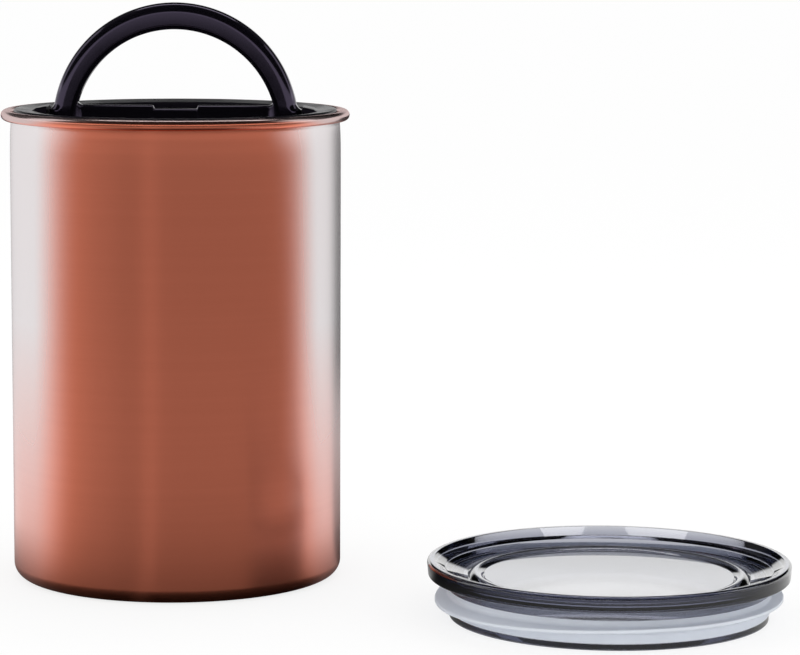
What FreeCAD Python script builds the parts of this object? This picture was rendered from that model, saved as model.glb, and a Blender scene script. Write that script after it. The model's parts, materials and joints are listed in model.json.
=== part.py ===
"""Coffee canister with a plunging inner lid, a folding handle that works its valve, and an outer lid.

Millimetres. The origin is the middle of the canister's base, +Z is up, and the handle's pivot lies along X.
"""
import FreeCAD, Part

import math
import os
import re

import Sketcher

SIZES = {
    # Canister
    "body_diameter": 121.0,
    "rim_height": 172.25,
    "sheet": 0.6,
    "curl_diameter": 3.8,
    "curl_end_angle": 115.0,
    "base_corner": 5.2,
    "foot_ring_width": 8.0,
    "base_recess": 2.0,
    "base_slope": 2.5,
    # Inner lid, upper half
    "deck_rise": 0.45,
    "flange_clearance": 0.8,
    "flange_thick": 2.0,
    "flange_edge": 1.0,
    "flange_lip_depth": 3.0,
    "flange_lip_wall": 1.8,
    "flange_width": 8.6,
    "flange_dish": 1.0,
    "well_wall": 2.0,
    "well_edge": 0.8,
    "well_fillet": 1.5,
    "floor_thick": 2.0,
    "lower_skirt_depth": 6.6,
    # Pivot ears
    "ear_reach": 3.9,
    "ear_width": 13.0,
    "ear_rise": 0.7,
    "ear_edge": 0.6,
    "ear_slope": 3.4,
    # Valve cup
    "cup_radius": 14.0,
    "cup_wall": 1.8,
    "cup_depth": 5.6,
    "cup_floor": 1.8,
    "cup_chamfer": 0.6,
    "seat_width": 1.5,
    "seat_height": 0.8,
    "guide_wall": 1.65,
    "guide_depth": 1.7,
    "port_radius": 1.1,
    "port_count": 6,
    # Inner lid, lower half
    "underplate_margin": 0.2,
    "underplate_thick": 2.0,
    "underplate_edge": 1.0,
    "spigot_wall": 1.8,
    "fit_clearance": 0.1,
    "slot_width": 3.0,
    "slot_inner": 14.0,
    "slot_outer": 26.0,
    "slot_count": 12,
    # Wiper seal
    "seal_height": 5.0,
    "seal_lip_length": 3.1,
    "seal_waist_depth": 2.4,
    "seal_waist_height": 1.8,
    "seal_lip_thick": 1.3,
    "seal_lip_reach": 1.5,
    "seal_gap": 0.3,
    # Handle
    "fold_sink": 1.3,
    "fold_clearance": 1.8,
    "foot_clearance": 0.5,
    "foot_flare": 1.1,
    "arch_drop": 0.75,
    "arch_side_width": 7.85,
    "grip_drop": 2.65,
    "handle_thick": 9.0,
    "foot_length": 10.0,
    "foot_flare_rise": 7.8,
    "foot_flare_radius": 3.5,
    "crossbar_rise": 6.8,
    "crossbar_thick": 6.8,
    "crossbar_edge": 0.9,
    "notch_width": 16.0,
    "notch_depth": 1.25,
    "notch_corner": 0.7,
    "arch_round": 2.9,
    "grip_round": 1.9,
    "foot_web": 2.2,
    # Pivot pins
    "pin_radius": 1.5,
    "pin_hold": 7.6,
    "pin_setback": 0.5,
    "pin_end_gap": 0.4,
    "press_clearance": 0.02,
    "running_clearance": 0.05,
    # Cam and valve
    "cam_radius": 3.8,
    "cam_offset": 0.8,
    "cam_half_width": 5.2,
    "cam_gap": 0.2,
    "close_gap": 0.2,
    "button_radius": 4.0,
    "button_edge": 0.5,
    "disc_clearance": 2.0,
    "disc_thick": 1.2,
    "stem_radius": 1.5,
    "stem_end": 1.0,
    "stem_chamfer": 0.4,
    "washer_margin": 0.5,
    "washer_width": 3.5,
    "washer_thick": 1.5,
    "clip_width": 1.85,
    "clip_thick": 0.8,
    "clip_snap": 0.5,
    "clip_gap": 0.1,
    "groove_depth": 0.4,
    "groove_clearance": 0.05,
    "spring_radius": 4.6,
    "spring_wire": 0.6,
    "spring_turns": 3,
    "spring_seat_gap": 0.05,
    # Outer lid, standing beside the canister
    "lid_place_x": 156.6,
    "lid_place_y": -71.3,
    "lid_foot_clearance": 4.0,
    "lid_foot_height": 2.4,
    "lid_foot_lip": 1.5,
    "lid_plug_wall": 2.0,
    "lid_groove_height": 8.0,
    "lid_neck_step": 2.5,
    "lid_neck_flare": 0.9,
    "lid_neck_rise": 3.9,
    "lid_rim_overhang": 0.1,
    "lid_rim_depth": 5.5,
    "lid_rim_taper": 0.5,
    "lid_crest_round": 1.2,
    "lid_crest_width": 2.6,
    "lid_shoulder_width": 6.4,
    "lid_shoulder_drop": 2.6,
    "lid_slope_width": 8.0,
    "lid_ring_width": 5.7,
    "lid_ring_rise": 1.1,
    "lid_panel_drop": 5.5,
    "lid_wall": 2.0,
    # Lid gasket
    "gasket_wall": 1.8,
    "gasket_fin_squeeze": 1.1,
    "gasket_fin_level": 3.2,
    "gasket_fin_rise": 1.8,
    "gasket_fin_root": 2.4,
    "gasket_fin_thick": 1.1,
    # How far a cut runs past the face that it leaves
    "overrun": 1.0,
}

DERIVED = {
    # Canister
    "body_radius": "body_diameter / 2",
    "bore_radius": "body_radius - sheet",
    "curl_radius": "curl_diameter / 2",
    "curl_middle": "bore_radius + curl_radius",
    "curl_level": "rim_height - curl_radius",
    "curl_hollow": "curl_radius - sheet",
    "rim_radius": "curl_middle + curl_radius",
    "foot_ring_outer": "body_radius - base_corner",
    "foot_ring_inner": "foot_ring_outer - foot_ring_width",
    # Inner lid, upper half
    "deck_top": "rim_height + deck_rise",
    "well_brim": "deck_top - flange_dish",
    "flange_radius": "bore_radius - flange_clearance",
    "well_radius": "flange_radius - flange_width",
    "well_outer": "well_radius + well_wall",
    "pivot_height": "deck_top - fold_sink - handle_thick / 2",
    "floor_top": "pivot_height - handle_thick / 2 - fold_clearance",
    "floor_under": "floor_top - floor_thick",
    "seal_top": "floor_under - lower_skirt_depth",
    "cup_floor_top": "floor_top - cup_depth",
    "cup_under": "cup_floor_top - cup_floor",
    "guide_end": "cup_under - guide_depth",
    "guide_bore": "stem_radius + running_clearance",
    "guide_radius": "guide_bore + guide_wall",
    "ear_face": "well_radius - ear_reach",
    "ear_top": "deck_top + ear_rise",
    # Inner lid, lower half
    "underplate_top": "seal_top - seal_height",
    "underplate_bottom": "underplate_top - underplate_thick",
    "spigot_radius": "well_radius - fit_clearance",
    "seal_middle": "seal_top - seal_height / 2",
    "seal_radius": "bore_radius - seal_gap",
    "seal_root_radius": "seal_radius - seal_lip_length",
    "underplate_radius": "seal_root_radius - underplate_margin",
    "seal_waist_radius": "seal_radius - seal_waist_depth",
    # Handle
    "foot_reach": "ear_face - foot_clearance",
    "foot_root": "foot_reach - foot_length",
    "arch_radius": "foot_reach - foot_flare",
    "arch_middle": "pivot_height - arch_drop",
    "grip_radius": "arch_radius - arch_side_width",
    "grip_middle": "pivot_height - grip_drop",
    "crossbar_top": "pivot_height + crossbar_rise",
    # Pivot pins
    "pin_inner": "foot_reach - pin_hold",
    "pin_outer": "well_outer - pin_setback",
    # Valve, which the cam moves by twice its offset
    "disc_radius": "cup_radius - disc_clearance",
    "washer_outer": "disc_radius - washer_margin",
    "washer_inner": "washer_outer - washer_width",
    "seat_radius": "(washer_inner + washer_outer) / 2",
    "seat_inner": "seat_radius - seat_width / 2",
    "seat_outer": "seat_radius + seat_width / 2",
    "seat_top": "cup_floor_top + seat_height",
    "port_circle": "(spring_radius + seat_inner) / 2",
    "washer_under": "seat_top + 2 * cam_offset + close_gap",
    "disc_under": "washer_under + washer_thick",
    "disc_top": "disc_under + disc_thick",
    "button_top": "pivot_height + cam_offset - cam_radius - cam_gap",
    "clip_top": "guide_end - clip_gap",
    "clip_under": "clip_top - clip_thick",
    "groove_radius": "stem_radius - groove_depth",
    "clip_inner": "groove_radius + groove_clearance",
    "clip_outer": "clip_inner + clip_width",
    "clip_mouth": "2 * groove_radius - clip_snap",
    "stem_bottom": "clip_under - stem_end",
    # Outer lid
    "lid_foot_radius": "bore_radius - lid_foot_clearance",
    "lid_plug_radius": "lid_foot_radius - lid_foot_lip",
    "lid_neck_low": "lid_plug_radius + lid_neck_step",
    "lid_neck_high": "lid_neck_low + lid_neck_flare",
    "lid_neck_height": "lid_foot_height + lid_groove_height",
    "lid_skirt_height": "lid_neck_height + lid_neck_rise",
    "lid_rim_radius": "rim_radius + lid_rim_overhang",
    "lid_crest_height": "lid_skirt_height + lid_rim_depth",
    "lid_shoulder_radius": "lid_rim_radius - lid_shoulder_width",
    "lid_shoulder_height": "lid_crest_height - lid_shoulder_drop",
    "lid_ring_outer": "lid_shoulder_radius - lid_slope_width",
    "lid_ring_inner": "lid_ring_outer - lid_ring_width",
    "lid_panel_height": "lid_crest_height - lid_panel_drop",
    # Lid gasket
    "gasket_fin_radius": "bore_radius + gasket_fin_squeeze",
    "gasket_fin_low": "lid_foot_height + gasket_fin_level",
    "gasket_fin_tip": "gasket_fin_low + gasket_fin_rise",
}

# How near two radii are when they count as the same
MATCH_SHARE = 1e-4

DOC = FreeCAD.newDocument("coffee_canister")
SHEET = DOC.addObject("Spreadsheet::Sheet", "Sizes")
SUB_PARTS = []


def fill_sheet():
    """Writes each size, and each size worked out from others, to a row with its own alias."""
    for row, (name, value) in enumerate(SIZES.items(), start=1):
        SHEET.set(f"A{row}", str(value))
        SHEET.setAlias(f"A{row}", name)
    for row, (name, expression) in enumerate(DERIVED.items(), start=1):
        SHEET.set(f"B{row}", "=" + expression)
        SHEET.setAlias(f"B{row}", name)
    DOC.recompute()


def bound(expression):
    """Writes an expression of size names so that another object can be bound to it."""
    def with_sheet(match):
        word = match.group(0)
        return f"Sizes.{word}" if word in SIZES or word in DERIVED else word
    return re.sub(r"[a-z_]+", with_sheet, str(expression))


def number(expression):
    """The value of an expression of size names."""
    return float(SHEET.evalExpression(str(expression)))


def new_body(name):
    """A sub-part's body, whose label names its file."""
    body = DOC.addObject("PartDesign::Body", name)
    body.Label = name
    SUB_PARTS.append(body)
    return body


def origin_feature(body, role):
    """An origin plane or axis of a body."""
    return next(feature for feature in body.Origin.OriginFeatures if feature.Role == role)


def new_sketch(body, name, plane, offset=None):
    """A sketch on one of the body's origin planes, moved along the plane's normal by an expression."""
    sketch = body.newObject("Sketcher::SketchObject", name)
    sketch.AttachmentSupport = (origin_feature(body, plane), [""])
    sketch.MapMode = "FlatFace"
    if offset:
        sketch.setExpression("AttachmentOffset.Base.z", bound(offset))
    return sketch


def arc_between(start, end, radius, turn):
    """The arc of less than a half circle from start to end, turning left for +1 and right for -1."""
    chord = end - start
    half = chord.Length / 2
    reach = math.sqrt(max(radius * radius - half * half, 0))
    left = FreeCAD.Vector(-chord.y, chord.x, 0).normalize()
    middle = (start + end) * 0.5 + left * (reach * turn)
    first, last = (start, end) if turn > 0 else (end, start)
    from_angle = math.atan2(first.y - middle.y, first.x - middle.x)
    to_angle = math.atan2(last.y - middle.y, last.x - middle.x)
    circle = Part.Circle(middle, FreeCAD.Vector(0, 0, 1), radius)
    return Part.ArcOfCircle(circle, from_angle, to_angle)


def hold_point(sketch, geometry, position, place):
    """Binds a point's two coordinates in a sketch to expressions."""
    axes = {0: ("DistanceX", -2), 1: ("DistanceY", -1)}
    for index, expression in enumerate(place):
        kind, axis = axes[index]
        if expression == "0":
            sketch.addConstraint(Sketcher.Constraint("PointOnObject", geometry, position, axis))
            continue
        constraint = Sketcher.Constraint(kind, -1, 1, geometry, position, number(expression))
        at = sketch.addConstraint(constraint)
        sketch.setExpression(f"Constraints[{at}]", bound(expression))


def outline(sketch, corners):
    """Draws a closed outline. A corner is (x, y), or (x, y, radius, turn) where an arc leads on."""
    points = [FreeCAD.Vector(number(corner[0]), number(corner[1]), 0) for corner in corners]
    ends = []
    for index, corner in enumerate(corners):
        start = points[index]
        end = points[(index + 1) % len(points)]
        if len(corner) == 2:
            at = sketch.addGeometry(Part.LineSegment(start, end), False)
            ends.append((at, 1, 2))
            continue
        radius, turn = corner[2:]
        at = sketch.addGeometry(arc_between(start, end, number(radius), turn), False)
        ends.append((at, 1, 2) if turn > 0 else (at, 2, 1))
    for index, corner in enumerate(corners):
        at, first, _ = ends[index]
        before, _, last = ends[index - 1]
        sketch.addConstraint(Sketcher.Constraint("Coincident", before, last, at, first))
        hold_point(sketch, at, first, corner[:2])
        if len(corner) == 4:
            held = sketch.addConstraint(Sketcher.Constraint("Radius", at, number(corner[2])))
            sketch.setExpression(f"Constraints[{held}]", bound(corner[2]))
    return sketch


def ring(sketch, middle, radius):
    """Draws a circle."""
    place = FreeCAD.Vector(number(middle[0]), number(middle[1]), 0)
    at = sketch.addGeometry(Part.Circle(place, FreeCAD.Vector(0, 0, 1), number(radius)), False)
    hold_point(sketch, at, 3, middle)
    held = sketch.addConstraint(Sketcher.Constraint("Radius", at, number(radius)))
    sketch.setExpression(f"Constraints[{held}]", bound(radius))
    return sketch


def rectangle(left, low, right, high):
    """The corners of a rectangle."""
    return [(left, low), (right, low), (right, high), (left, high)]


def revolve(body, name, corners):
    """Turns an outline of radius and height once round the body's Z axis."""
    sketch = outline(new_sketch(body, name + "_section", "XZ_Plane"), corners)
    feature = body.newObject("PartDesign::Revolution", name)
    feature.Profile = sketch
    feature.ReferenceAxis = (sketch, ["V_Axis"])
    feature.Angle = 360
    DOC.recompute()
    return feature


def pad(body, name, sketch, length, symmetric=False):
    """Raises a sketch along its plane's normal, or to both sides of it."""
    feature = body.newObject("PartDesign::Pad", name)
    feature.Profile = sketch
    feature.SideType = "Symmetric" if symmetric else "One side"
    feature.setExpression("Length", bound(length))
    DOC.recompute()
    return feature


def cut(body, name, sketch, length, symmetric=False, along_normal=False):
    """Cuts a sketch into the body, and makes sure that it removes something."""
    before = body.Shape.Volume
    feature = body.newObject("PartDesign::Pocket", name)
    feature.Profile = sketch
    feature.SideType = "Symmetric" if symmetric else "One side"
    feature.Reversed = along_normal
    feature.setExpression("Length", bound(length))
    DOC.recompute()
    if not feature.Shape.Volume < before:
        raise RuntimeError(f"{name} cuts nothing")
    return feature


def round_edges(body, name, radius, wanted):
    """Rounds the edges of the body's last feature that a test picks."""
    base = body.Tip
    edges = [f"Edge{at}" for at, edge in enumerate(base.Shape.Edges, start=1) if wanted(edge)]
    if not edges:
        raise RuntimeError(f"{name} finds no edge")
    feature = body.newObject("PartDesign::Fillet", name)
    feature.Base = (base, edges)
    feature.setExpression("Radius", bound(radius))
    DOC.recompute()
    return feature


def round_pattern(body, name, feature, count):
    """Repeats a feature evenly round the body's Z axis."""
    pattern = body.newObject("PartDesign::PolarPattern", name)
    pattern.Originals = [feature]
    pattern.Axis = (origin_feature(body, "Z_Axis"), [""])
    pattern.Angle = 360
    pattern.setExpression("Occurrences", bound(count))
    body.Tip = pattern
    DOC.recompute()
    return pattern


def mirror(body, name, features):
    """Repeats features on the other side of the body's YZ plane."""
    mirrored = body.newObject("PartDesign::Mirrored", name)
    mirrored.Originals = features
    mirrored.MirrorPlane = (origin_feature(body, "YZ_Plane"), [""])
    body.Tip = mirrored
    DOC.recompute()
    return mirrored


def make_canister_shell():
    """Drawn steel shell: a recessed base, a straight wall and a rim that is rolled outwards."""
    tuck_in = "cos(curl_end_angle)"
    tuck_down = "sin(curl_end_angle)"
    body = new_body("canister_shell")
    revolve(body, "drawn_shell", [
        ("0", "base_recess"),
        ("foot_ring_inner - base_slope", "base_recess"),
        ("foot_ring_inner", "0"),
        ("foot_ring_outer", "0", "base_corner", 1),
        ("body_radius", "base_corner"),
        ("body_radius", "curl_level", "curl_hollow", -1),
        ("curl_middle", "curl_level + curl_hollow", "curl_hollow", -1),
        ("curl_middle + curl_hollow", "curl_level", "curl_hollow", -1),
        ("curl_middle", "curl_level - curl_hollow", "curl_hollow", -1),
        (f"curl_middle + curl_hollow * {tuck_in}", f"curl_level - curl_hollow * {tuck_down}"),
        (f"curl_middle + curl_radius * {tuck_in}", f"curl_level - curl_radius * {tuck_down}",
         "curl_radius", 1),
        ("curl_middle", "curl_level - curl_radius", "curl_radius", 1),
        ("rim_radius", "curl_level", "curl_radius", 1),
        ("curl_middle", "rim_height", "curl_radius", 1),
        ("bore_radius", "curl_level"),
        ("bore_radius", "base_corner", "base_corner - sheet", -1),
        ("foot_ring_outer", "sheet"),
        ("foot_ring_inner", "sheet"),
        ("foot_ring_inner - base_slope", "base_recess + sheet"),
        ("0", "base_recess + sheet"),
    ])


def make_plunger_deck():
    """Upper half of the inner lid: dished flange, round well, pivot ears and the valve's cup and seat."""
    lip_inner = "flange_radius - flange_lip_wall"
    body = new_body("plunger_deck")
    revolve(body, "deck_shell", [
        ("guide_bore", "guide_end"),
        ("guide_radius", "guide_end"),
        ("guide_radius", "cup_under"),
        ("cup_radius + cup_wall", "cup_under"),
        ("cup_radius + cup_wall", "floor_under"),
        ("well_radius", "floor_under"),
        ("well_radius", "seal_top"),
        ("well_outer", "seal_top"),
        ("well_outer", "well_brim - flange_thick"),
        (lip_inner, "deck_top - flange_thick"),
        (lip_inner, "deck_top - flange_lip_depth"),
        ("flange_radius", "deck_top - flange_lip_depth"),
        ("flange_radius", "deck_top - flange_edge", "flange_edge", 1),
        ("flange_radius - flange_edge", "deck_top"),
        ("well_radius + well_edge", "well_brim", "well_edge", 1),
        ("well_radius", "well_brim - well_edge"),
        ("well_radius", "floor_top + well_fillet", "well_fillet", -1),
        ("well_radius - well_fillet", "floor_top"),
        ("cup_radius + cup_chamfer", "floor_top"),
        ("cup_radius", "floor_top - cup_chamfer"),
        ("cup_radius", "cup_floor_top"),
        ("seat_outer", "cup_floor_top"),
        ("seat_outer", "seat_top"),
        ("seat_inner", "seat_top"),
        ("seat_inner", "cup_floor_top"),
        ("guide_bore", "cup_floor_top"),
    ])
    ear_back = "well_radius + well_wall / 2"
    ear_section = outline(new_sketch(body, "ear_section", "XZ_Plane"), [
        ("ear_face", "floor_top - floor_thick / 2"),
        (ear_back, "floor_top - floor_thick / 2"),
        (ear_back, "well_brim - flange_thick / 2"),
        ("ear_face + ear_edge + 2 * ear_slope", "well_brim - flange_thick / 2"),
        ("ear_face + ear_edge + ear_slope", "deck_top"),
        ("ear_face + ear_edge", "ear_top", "ear_edge", 1),
        ("ear_face", "ear_top - ear_edge"),
    ])
    ear = pad(body, "ear", ear_section, "ear_width", symmetric=True)
    mirror(body, "ears", [ear])
    bore_section = new_sketch(body, "pin_bore_section", "YZ_Plane")
    ring(bore_section, ("0", "pivot_height"), "pin_radius + press_clearance")
    cut(body, "pin_bores", bore_section, "2 * (well_outer + overrun)", symmetric=True)
    port_section = new_sketch(body, "port_section", "XY_Plane", "cup_floor_top + overrun")
    ring(port_section, ("port_circle", "0"), "port_radius")
    port = cut(body, "port", port_section, "cup_floor + 2 * overrun")
    round_pattern(body, "ports", port, "port_count")


def make_plunger_underplate():
    """Lower half of the inner lid: a disc with vent slots, and the spigot that fits in the deck."""
    body = new_body("plunger_underplate")
    revolve(body, "plate", [
        ("0", "underplate_bottom"),
        ("underplate_radius - underplate_edge", "underplate_bottom", "underplate_edge", 1),
        ("underplate_radius", "underplate_bottom + underplate_edge"),
        ("underplate_radius", "underplate_top"),
        ("spigot_radius", "underplate_top"),
        ("spigot_radius", "floor_under"),
        ("spigot_radius - spigot_wall", "floor_under"),
        ("spigot_radius - spigot_wall", "underplate_top"),
        ("0", "underplate_top"),
    ])
    slot_section = outline(new_sketch(body, "slot_section", "XY_Plane", "underplate_top + overrun"), [
        ("slot_inner", "-slot_width / 2"),
        ("slot_outer", "-slot_width / 2", "slot_width / 2", 1),
        ("slot_outer + slot_width / 2", "0", "slot_width / 2", 1),
        ("slot_outer", "slot_width / 2"),
        ("slot_inner", "slot_width / 2", "slot_width / 2", 1),
        ("slot_inner - slot_width / 2", "0", "slot_width / 2", 1),
    ])
    slot = cut(body, "slot", slot_section, "underplate_thick + 2 * overrun")
    round_pattern(body, "slots", slot, "slot_count")


def make_wiper_seal():
    """Silicone ring with an upper and a lower lip, clamped between the inner lid's two halves."""
    low = "underplate_top"
    high = "seal_top"
    body = new_body("wiper_seal")
    revolve(body, "lipped_ring", [
        ("spigot_radius + fit_clearance", low),
        ("seal_root_radius", low),
        ("seal_radius", f"{low} - seal_lip_reach"),
        ("seal_radius", f"{low} - seal_lip_reach + seal_lip_thick"),
        ("seal_waist_radius", "seal_middle - seal_waist_height / 2"),
        ("seal_waist_radius", "seal_middle + seal_waist_height / 2"),
        ("seal_radius", f"{high} + seal_lip_reach - seal_lip_thick"),
        ("seal_radius", f"{high} + seal_lip_reach"),
        ("seal_root_radius", high),
        ("spigot_radius + fit_clearance", high),
    ])


def make_handle():
    """D-shaped handle: an arch on two pivot feet, tied by a cross bar that carries the valve's cam."""
    spring_level = "pivot_height"
    grip_half = "sqrt(grip_radius ^ 2 - grip_drop ^ 2)"
    flare_up = "(foot_flare_rise + arch_drop)"
    flare_half = f"sqrt(arch_radius ^ 2 - {flare_up} ^ 2)"
    apex = "arch_middle + arch_radius"
    grip_apex = "grip_middle + grip_radius"
    flare_level = "pivot_height + foot_flare_rise"
    # The flare runs smoothly out of the arch, so the collar lies where it reaches the foot's side.
    flare_out = f"(1 + foot_flare_radius / arch_radius) * {flare_half} - foot_reach"
    flare_middle = f"arch_middle + (1 + foot_flare_radius / arch_radius) * {flare_up}"
    collar_level = f"{flare_middle} - sqrt(foot_flare_radius ^ 2 - ({flare_out}) ^ 2)"
    body = new_body("handle")
    arch_section = outline(new_sketch(body, "arch_section", "XZ_Plane"), [
        ("foot_reach", spring_level),
        ("foot_reach", collar_level, "foot_flare_radius", -1),
        (flare_half, flare_level, "arch_radius", 1),
        ("0", apex, "arch_radius", 1),
        (f"-{flare_half}", flare_level, "foot_flare_radius", -1),
        ("-foot_reach", collar_level),
        ("-foot_reach", spring_level),
        (f"-{grip_half}", spring_level, "grip_radius", -1),
        ("0", grip_apex, "grip_radius", -1),
        (grip_half, spring_level),
    ])
    pad(body, "arch", arch_section, "handle_thick", symmetric=True)

    def along_arc(radius):
        def test(edge):
            if not isinstance(edge.Curve, Part.Circle):
                return False
            return math.isclose(edge.Curve.Radius, number(radius), rel_tol=MATCH_SHARE)
        return test

    round_edges(body, "arch_rounding", "arch_round", along_arc("arch_radius"))
    round_edges(body, "grip_rounding", "grip_round", along_arc("grip_radius"))
    foot_section = new_sketch(body, "foot_section", "YZ_Plane", "foot_root")
    ring(foot_section, ("0", "pivot_height"), "handle_thick / 2")
    foot = pad(body, "foot", foot_section, "foot_reach - foot_root")
    mirror(body, "feet", [foot])
    bar_half = "crossbar_thick / 2"
    bar_section = outline(new_sketch(body, "bar_section", "YZ_Plane"), [
        ("0", f"pivot_height - {bar_half}", bar_half, 1),
        (bar_half, "pivot_height"),
        (bar_half, "crossbar_top - crossbar_edge", "crossbar_edge", 1),
        (f"{bar_half} - crossbar_edge", "crossbar_top"),
        (f"crossbar_edge - {bar_half}", "crossbar_top", "crossbar_edge", 1),
        (f"-{bar_half}", "crossbar_top - crossbar_edge"),
        (f"-{bar_half}", "pivot_height", bar_half, 1),
    ])
    pad(body, "crossbar", bar_section, "foot_root + foot_reach", symmetric=True)
    inner_half = "sqrt(grip_radius ^ 2 - (crossbar_rise + grip_drop) ^ 2)"
    web_section = outline(new_sketch(body, "web_section", "XZ_Plane"), [
        (f"{inner_half} - foot_web", "crossbar_top - crossbar_edge"),
        (f"{inner_half} + grip_round", "crossbar_top - crossbar_edge"),
        (f"{inner_half} + grip_round", "crossbar_top + foot_web"),
        (inner_half, "crossbar_top + foot_web", "foot_web", -1),
        (f"{inner_half} - foot_web", "crossbar_top"),
    ])
    web = pad(body, "foot_web_left", web_section, "crossbar_thick - 2 * crossbar_edge", symmetric=True)
    mirror(body, "foot_webs", [web])
    relief_section = outline(new_sketch(body, "cam_relief_section", "YZ_Plane"), rectangle(
        "-handle_thick / 2", "pivot_height - handle_thick / 2",
        "handle_thick / 2", "pivot_height + cam_offset"))
    cut(body, "cam_relief", relief_section, "2 * cam_half_width", symmetric=True)
    cam_section = new_sketch(body, "cam_section", "YZ_Plane")
    ring(cam_section, ("cam_offset", "pivot_height + cam_offset"), "cam_radius")
    pad(body, "cam", cam_section, "2 * cam_half_width", symmetric=True)
    notch_half = "notch_width / 2"
    notch_floor = "crossbar_top - notch_depth"
    notch_section = outline(new_sketch(body, "notch_section", "XZ_Plane"), [
        (f"notch_corner - {notch_half}", notch_floor),
        (f"{notch_half} - notch_corner", notch_floor, "notch_corner", 1),
        (notch_half, f"{notch_floor} + notch_corner"),
        (notch_half, "crossbar_top + overrun"),
        (f"-{notch_half}", "crossbar_top + overrun"),
        (f"-{notch_half}", f"{notch_floor} + notch_corner", "notch_corner", 1),
    ])
    cut(body, "finger_notch", notch_section, "crossbar_thick + 2 * overrun", symmetric=True)
    bore_section = new_sketch(body, "pin_bore_section", "YZ_Plane", "pin_inner - pin_end_gap")
    ring(bore_section, ("0", "pivot_height"), "pin_radius + running_clearance")
    bore_depth = "pin_hold + pin_end_gap + overrun"
    bore = cut(body, "pin_bore", bore_section, bore_depth, along_normal=True)
    mirror(body, "pin_bores", [bore])


def make_pivot_pin(name, side):
    """Steel pin, pressed into one ear, that a foot of the handle turns on."""
    pin = DOC.addObject("Part::Cylinder", name)
    pin.Label = name
    pin.setExpression("Radius", bound("pin_radius"))
    pin.setExpression("Height", bound("pin_outer - pin_inner"))
    pin.Placement.Rotation = FreeCAD.Rotation(FreeCAD.Vector(0, 1, 0), 90)
    pin.setExpression("Placement.Base.x", bound("pin_inner" if side > 0 else "-pin_outer"))
    pin.setExpression("Placement.Base.z", bound("pivot_height"))
    SUB_PARTS.append(pin)


def make_valve_poppet():
    """The valve's button, disc and stem in one moulding, with a groove for the retaining clip."""
    body = new_body("valve_poppet")
    revolve(body, "poppet", [
        ("0", "stem_bottom"),
        ("stem_radius - stem_chamfer", "stem_bottom"),
        ("stem_radius", "stem_bottom + stem_chamfer"),
        ("stem_radius", "clip_under"),
        ("groove_radius", "clip_under"),
        ("groove_radius", "clip_top"),
        ("stem_radius", "clip_top"),
        ("stem_radius", "disc_under"),
        ("disc_radius", "disc_under"),
        ("disc_radius", "disc_top"),
        ("button_radius", "disc_top"),
        ("button_radius", "button_top - button_edge", "button_edge", 1),
        ("button_radius - button_edge", "button_top"),
        ("0", "button_top"),
    ])


def make_valve_washer():
    """Flat silicone washer under the disc, which closes on the seat."""
    body = new_body("valve_washer")
    revolve(body, "washer", rectangle("washer_inner", "washer_under", "washer_outer", "disc_under"))


def make_valve_clip():
    """Open retaining clip that keeps the stem in its guide."""
    body = new_body("valve_clip")
    revolve(body, "clip_ring", rectangle("clip_inner", "clip_under", "clip_outer", "clip_top"))
    mouth_section = outline(new_sketch(body, "mouth_section", "XY_Plane", "clip_top + overrun"), rectangle(
        "0", "-clip_mouth / 2", "clip_outer + overrun", "clip_mouth / 2"))
    cut(body, "clip_mouth_cut", mouth_section, "clip_thick + 2 * overrun")


def biarc(start, start_way, end, end_way):
    """Two arcs, alike in length at their corners, that leave start and reach end along the given ways."""
    chord = end - start
    ways = start_way + end_way
    square = 2 * (1 - start_way.dot(end_way))
    along = chord.dot(ways)
    reach = (-along + math.sqrt(along * along + square * chord.dot(chord))) / square
    corners = (start + start_way * reach, end - end_way * reach)
    joint = (corners[0] + corners[1]) * 0.5
    edges = []
    for first, corner, last in ((start, corners[0], joint), (joint, corners[1], end)):
        middle = (first + last) * 0.5
        half_turn = math.atan2((corner - middle).Length, (last - first).Length / 2)
        crown = middle + (corner - middle) * (math.tan(half_turn / 2) / math.tan(half_turn))
        edges.append(Part.Arc(first, crown, last).toShape())
    return edges


def make_valve_spring():
    """Compression spring round the stem, from the cup's floor to the disc: one tube along a helix."""
    quarter = math.pi / 2
    radius = number("spring_radius")
    wire = number("spring_wire")
    turns = number("spring_turns")
    low = number("cup_floor_top + spring_wire / 2 + spring_seat_gap")
    high = number("disc_under - spring_wire / 2 - spring_seat_gap")
    rise = (high - low) / (turns * 2 * math.pi)

    def place(angle):
        return FreeCAD.Vector(radius * math.cos(angle), radius * math.sin(angle), low + rise * angle)

    def way(angle):
        return FreeCAD.Vector(-radius * math.sin(angle), radius * math.cos(angle), rise).normalize()

    edges = []
    for step in range(round(4 * turns)):
        angles = (quarter * step, quarter * (step + 1))
        edges += biarc(place(angles[0]), way(angles[0]), place(angles[1]), way(angles[1]))
    path = Part.Wire(edges)
    section = Part.Wire(Part.makeCircle(wire / 2, place(0), way(0)))
    spring = DOC.addObject("Part::Feature", "valve_spring")
    spring.Label = "valve_spring"
    spring.Shape = path.makePipeShell([section], True, False)
    spring.Placement = FreeCAD.Placement()
    SUB_PARTS.append(spring)
    print_least_gap("valve_spring", path, wire)


def print_least_gap(name, path, diameter):
    """Prints the least gap between a tube and itself, measured on points more than a half turn apart."""
    points_per_arc = 12
    points = [point for edge in path.OrderedEdges for point in edge.discretize(points_per_arc)]
    apart = points_per_arc * 4
    gaps = [(first - second).Length for at, first in enumerate(points) for second in points[at + apart:]]
    print(f"{name}: least gap to itself {min(gaps) - diameter:.2f} mm")


def place_by_lid(body):
    """Stands a body of the outer lid beside the canister."""
    body.setExpression("Placement.Base.x", bound("lid_place_x"))
    body.setExpression("Placement.Base.y", bound("lid_place_y"))


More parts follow.
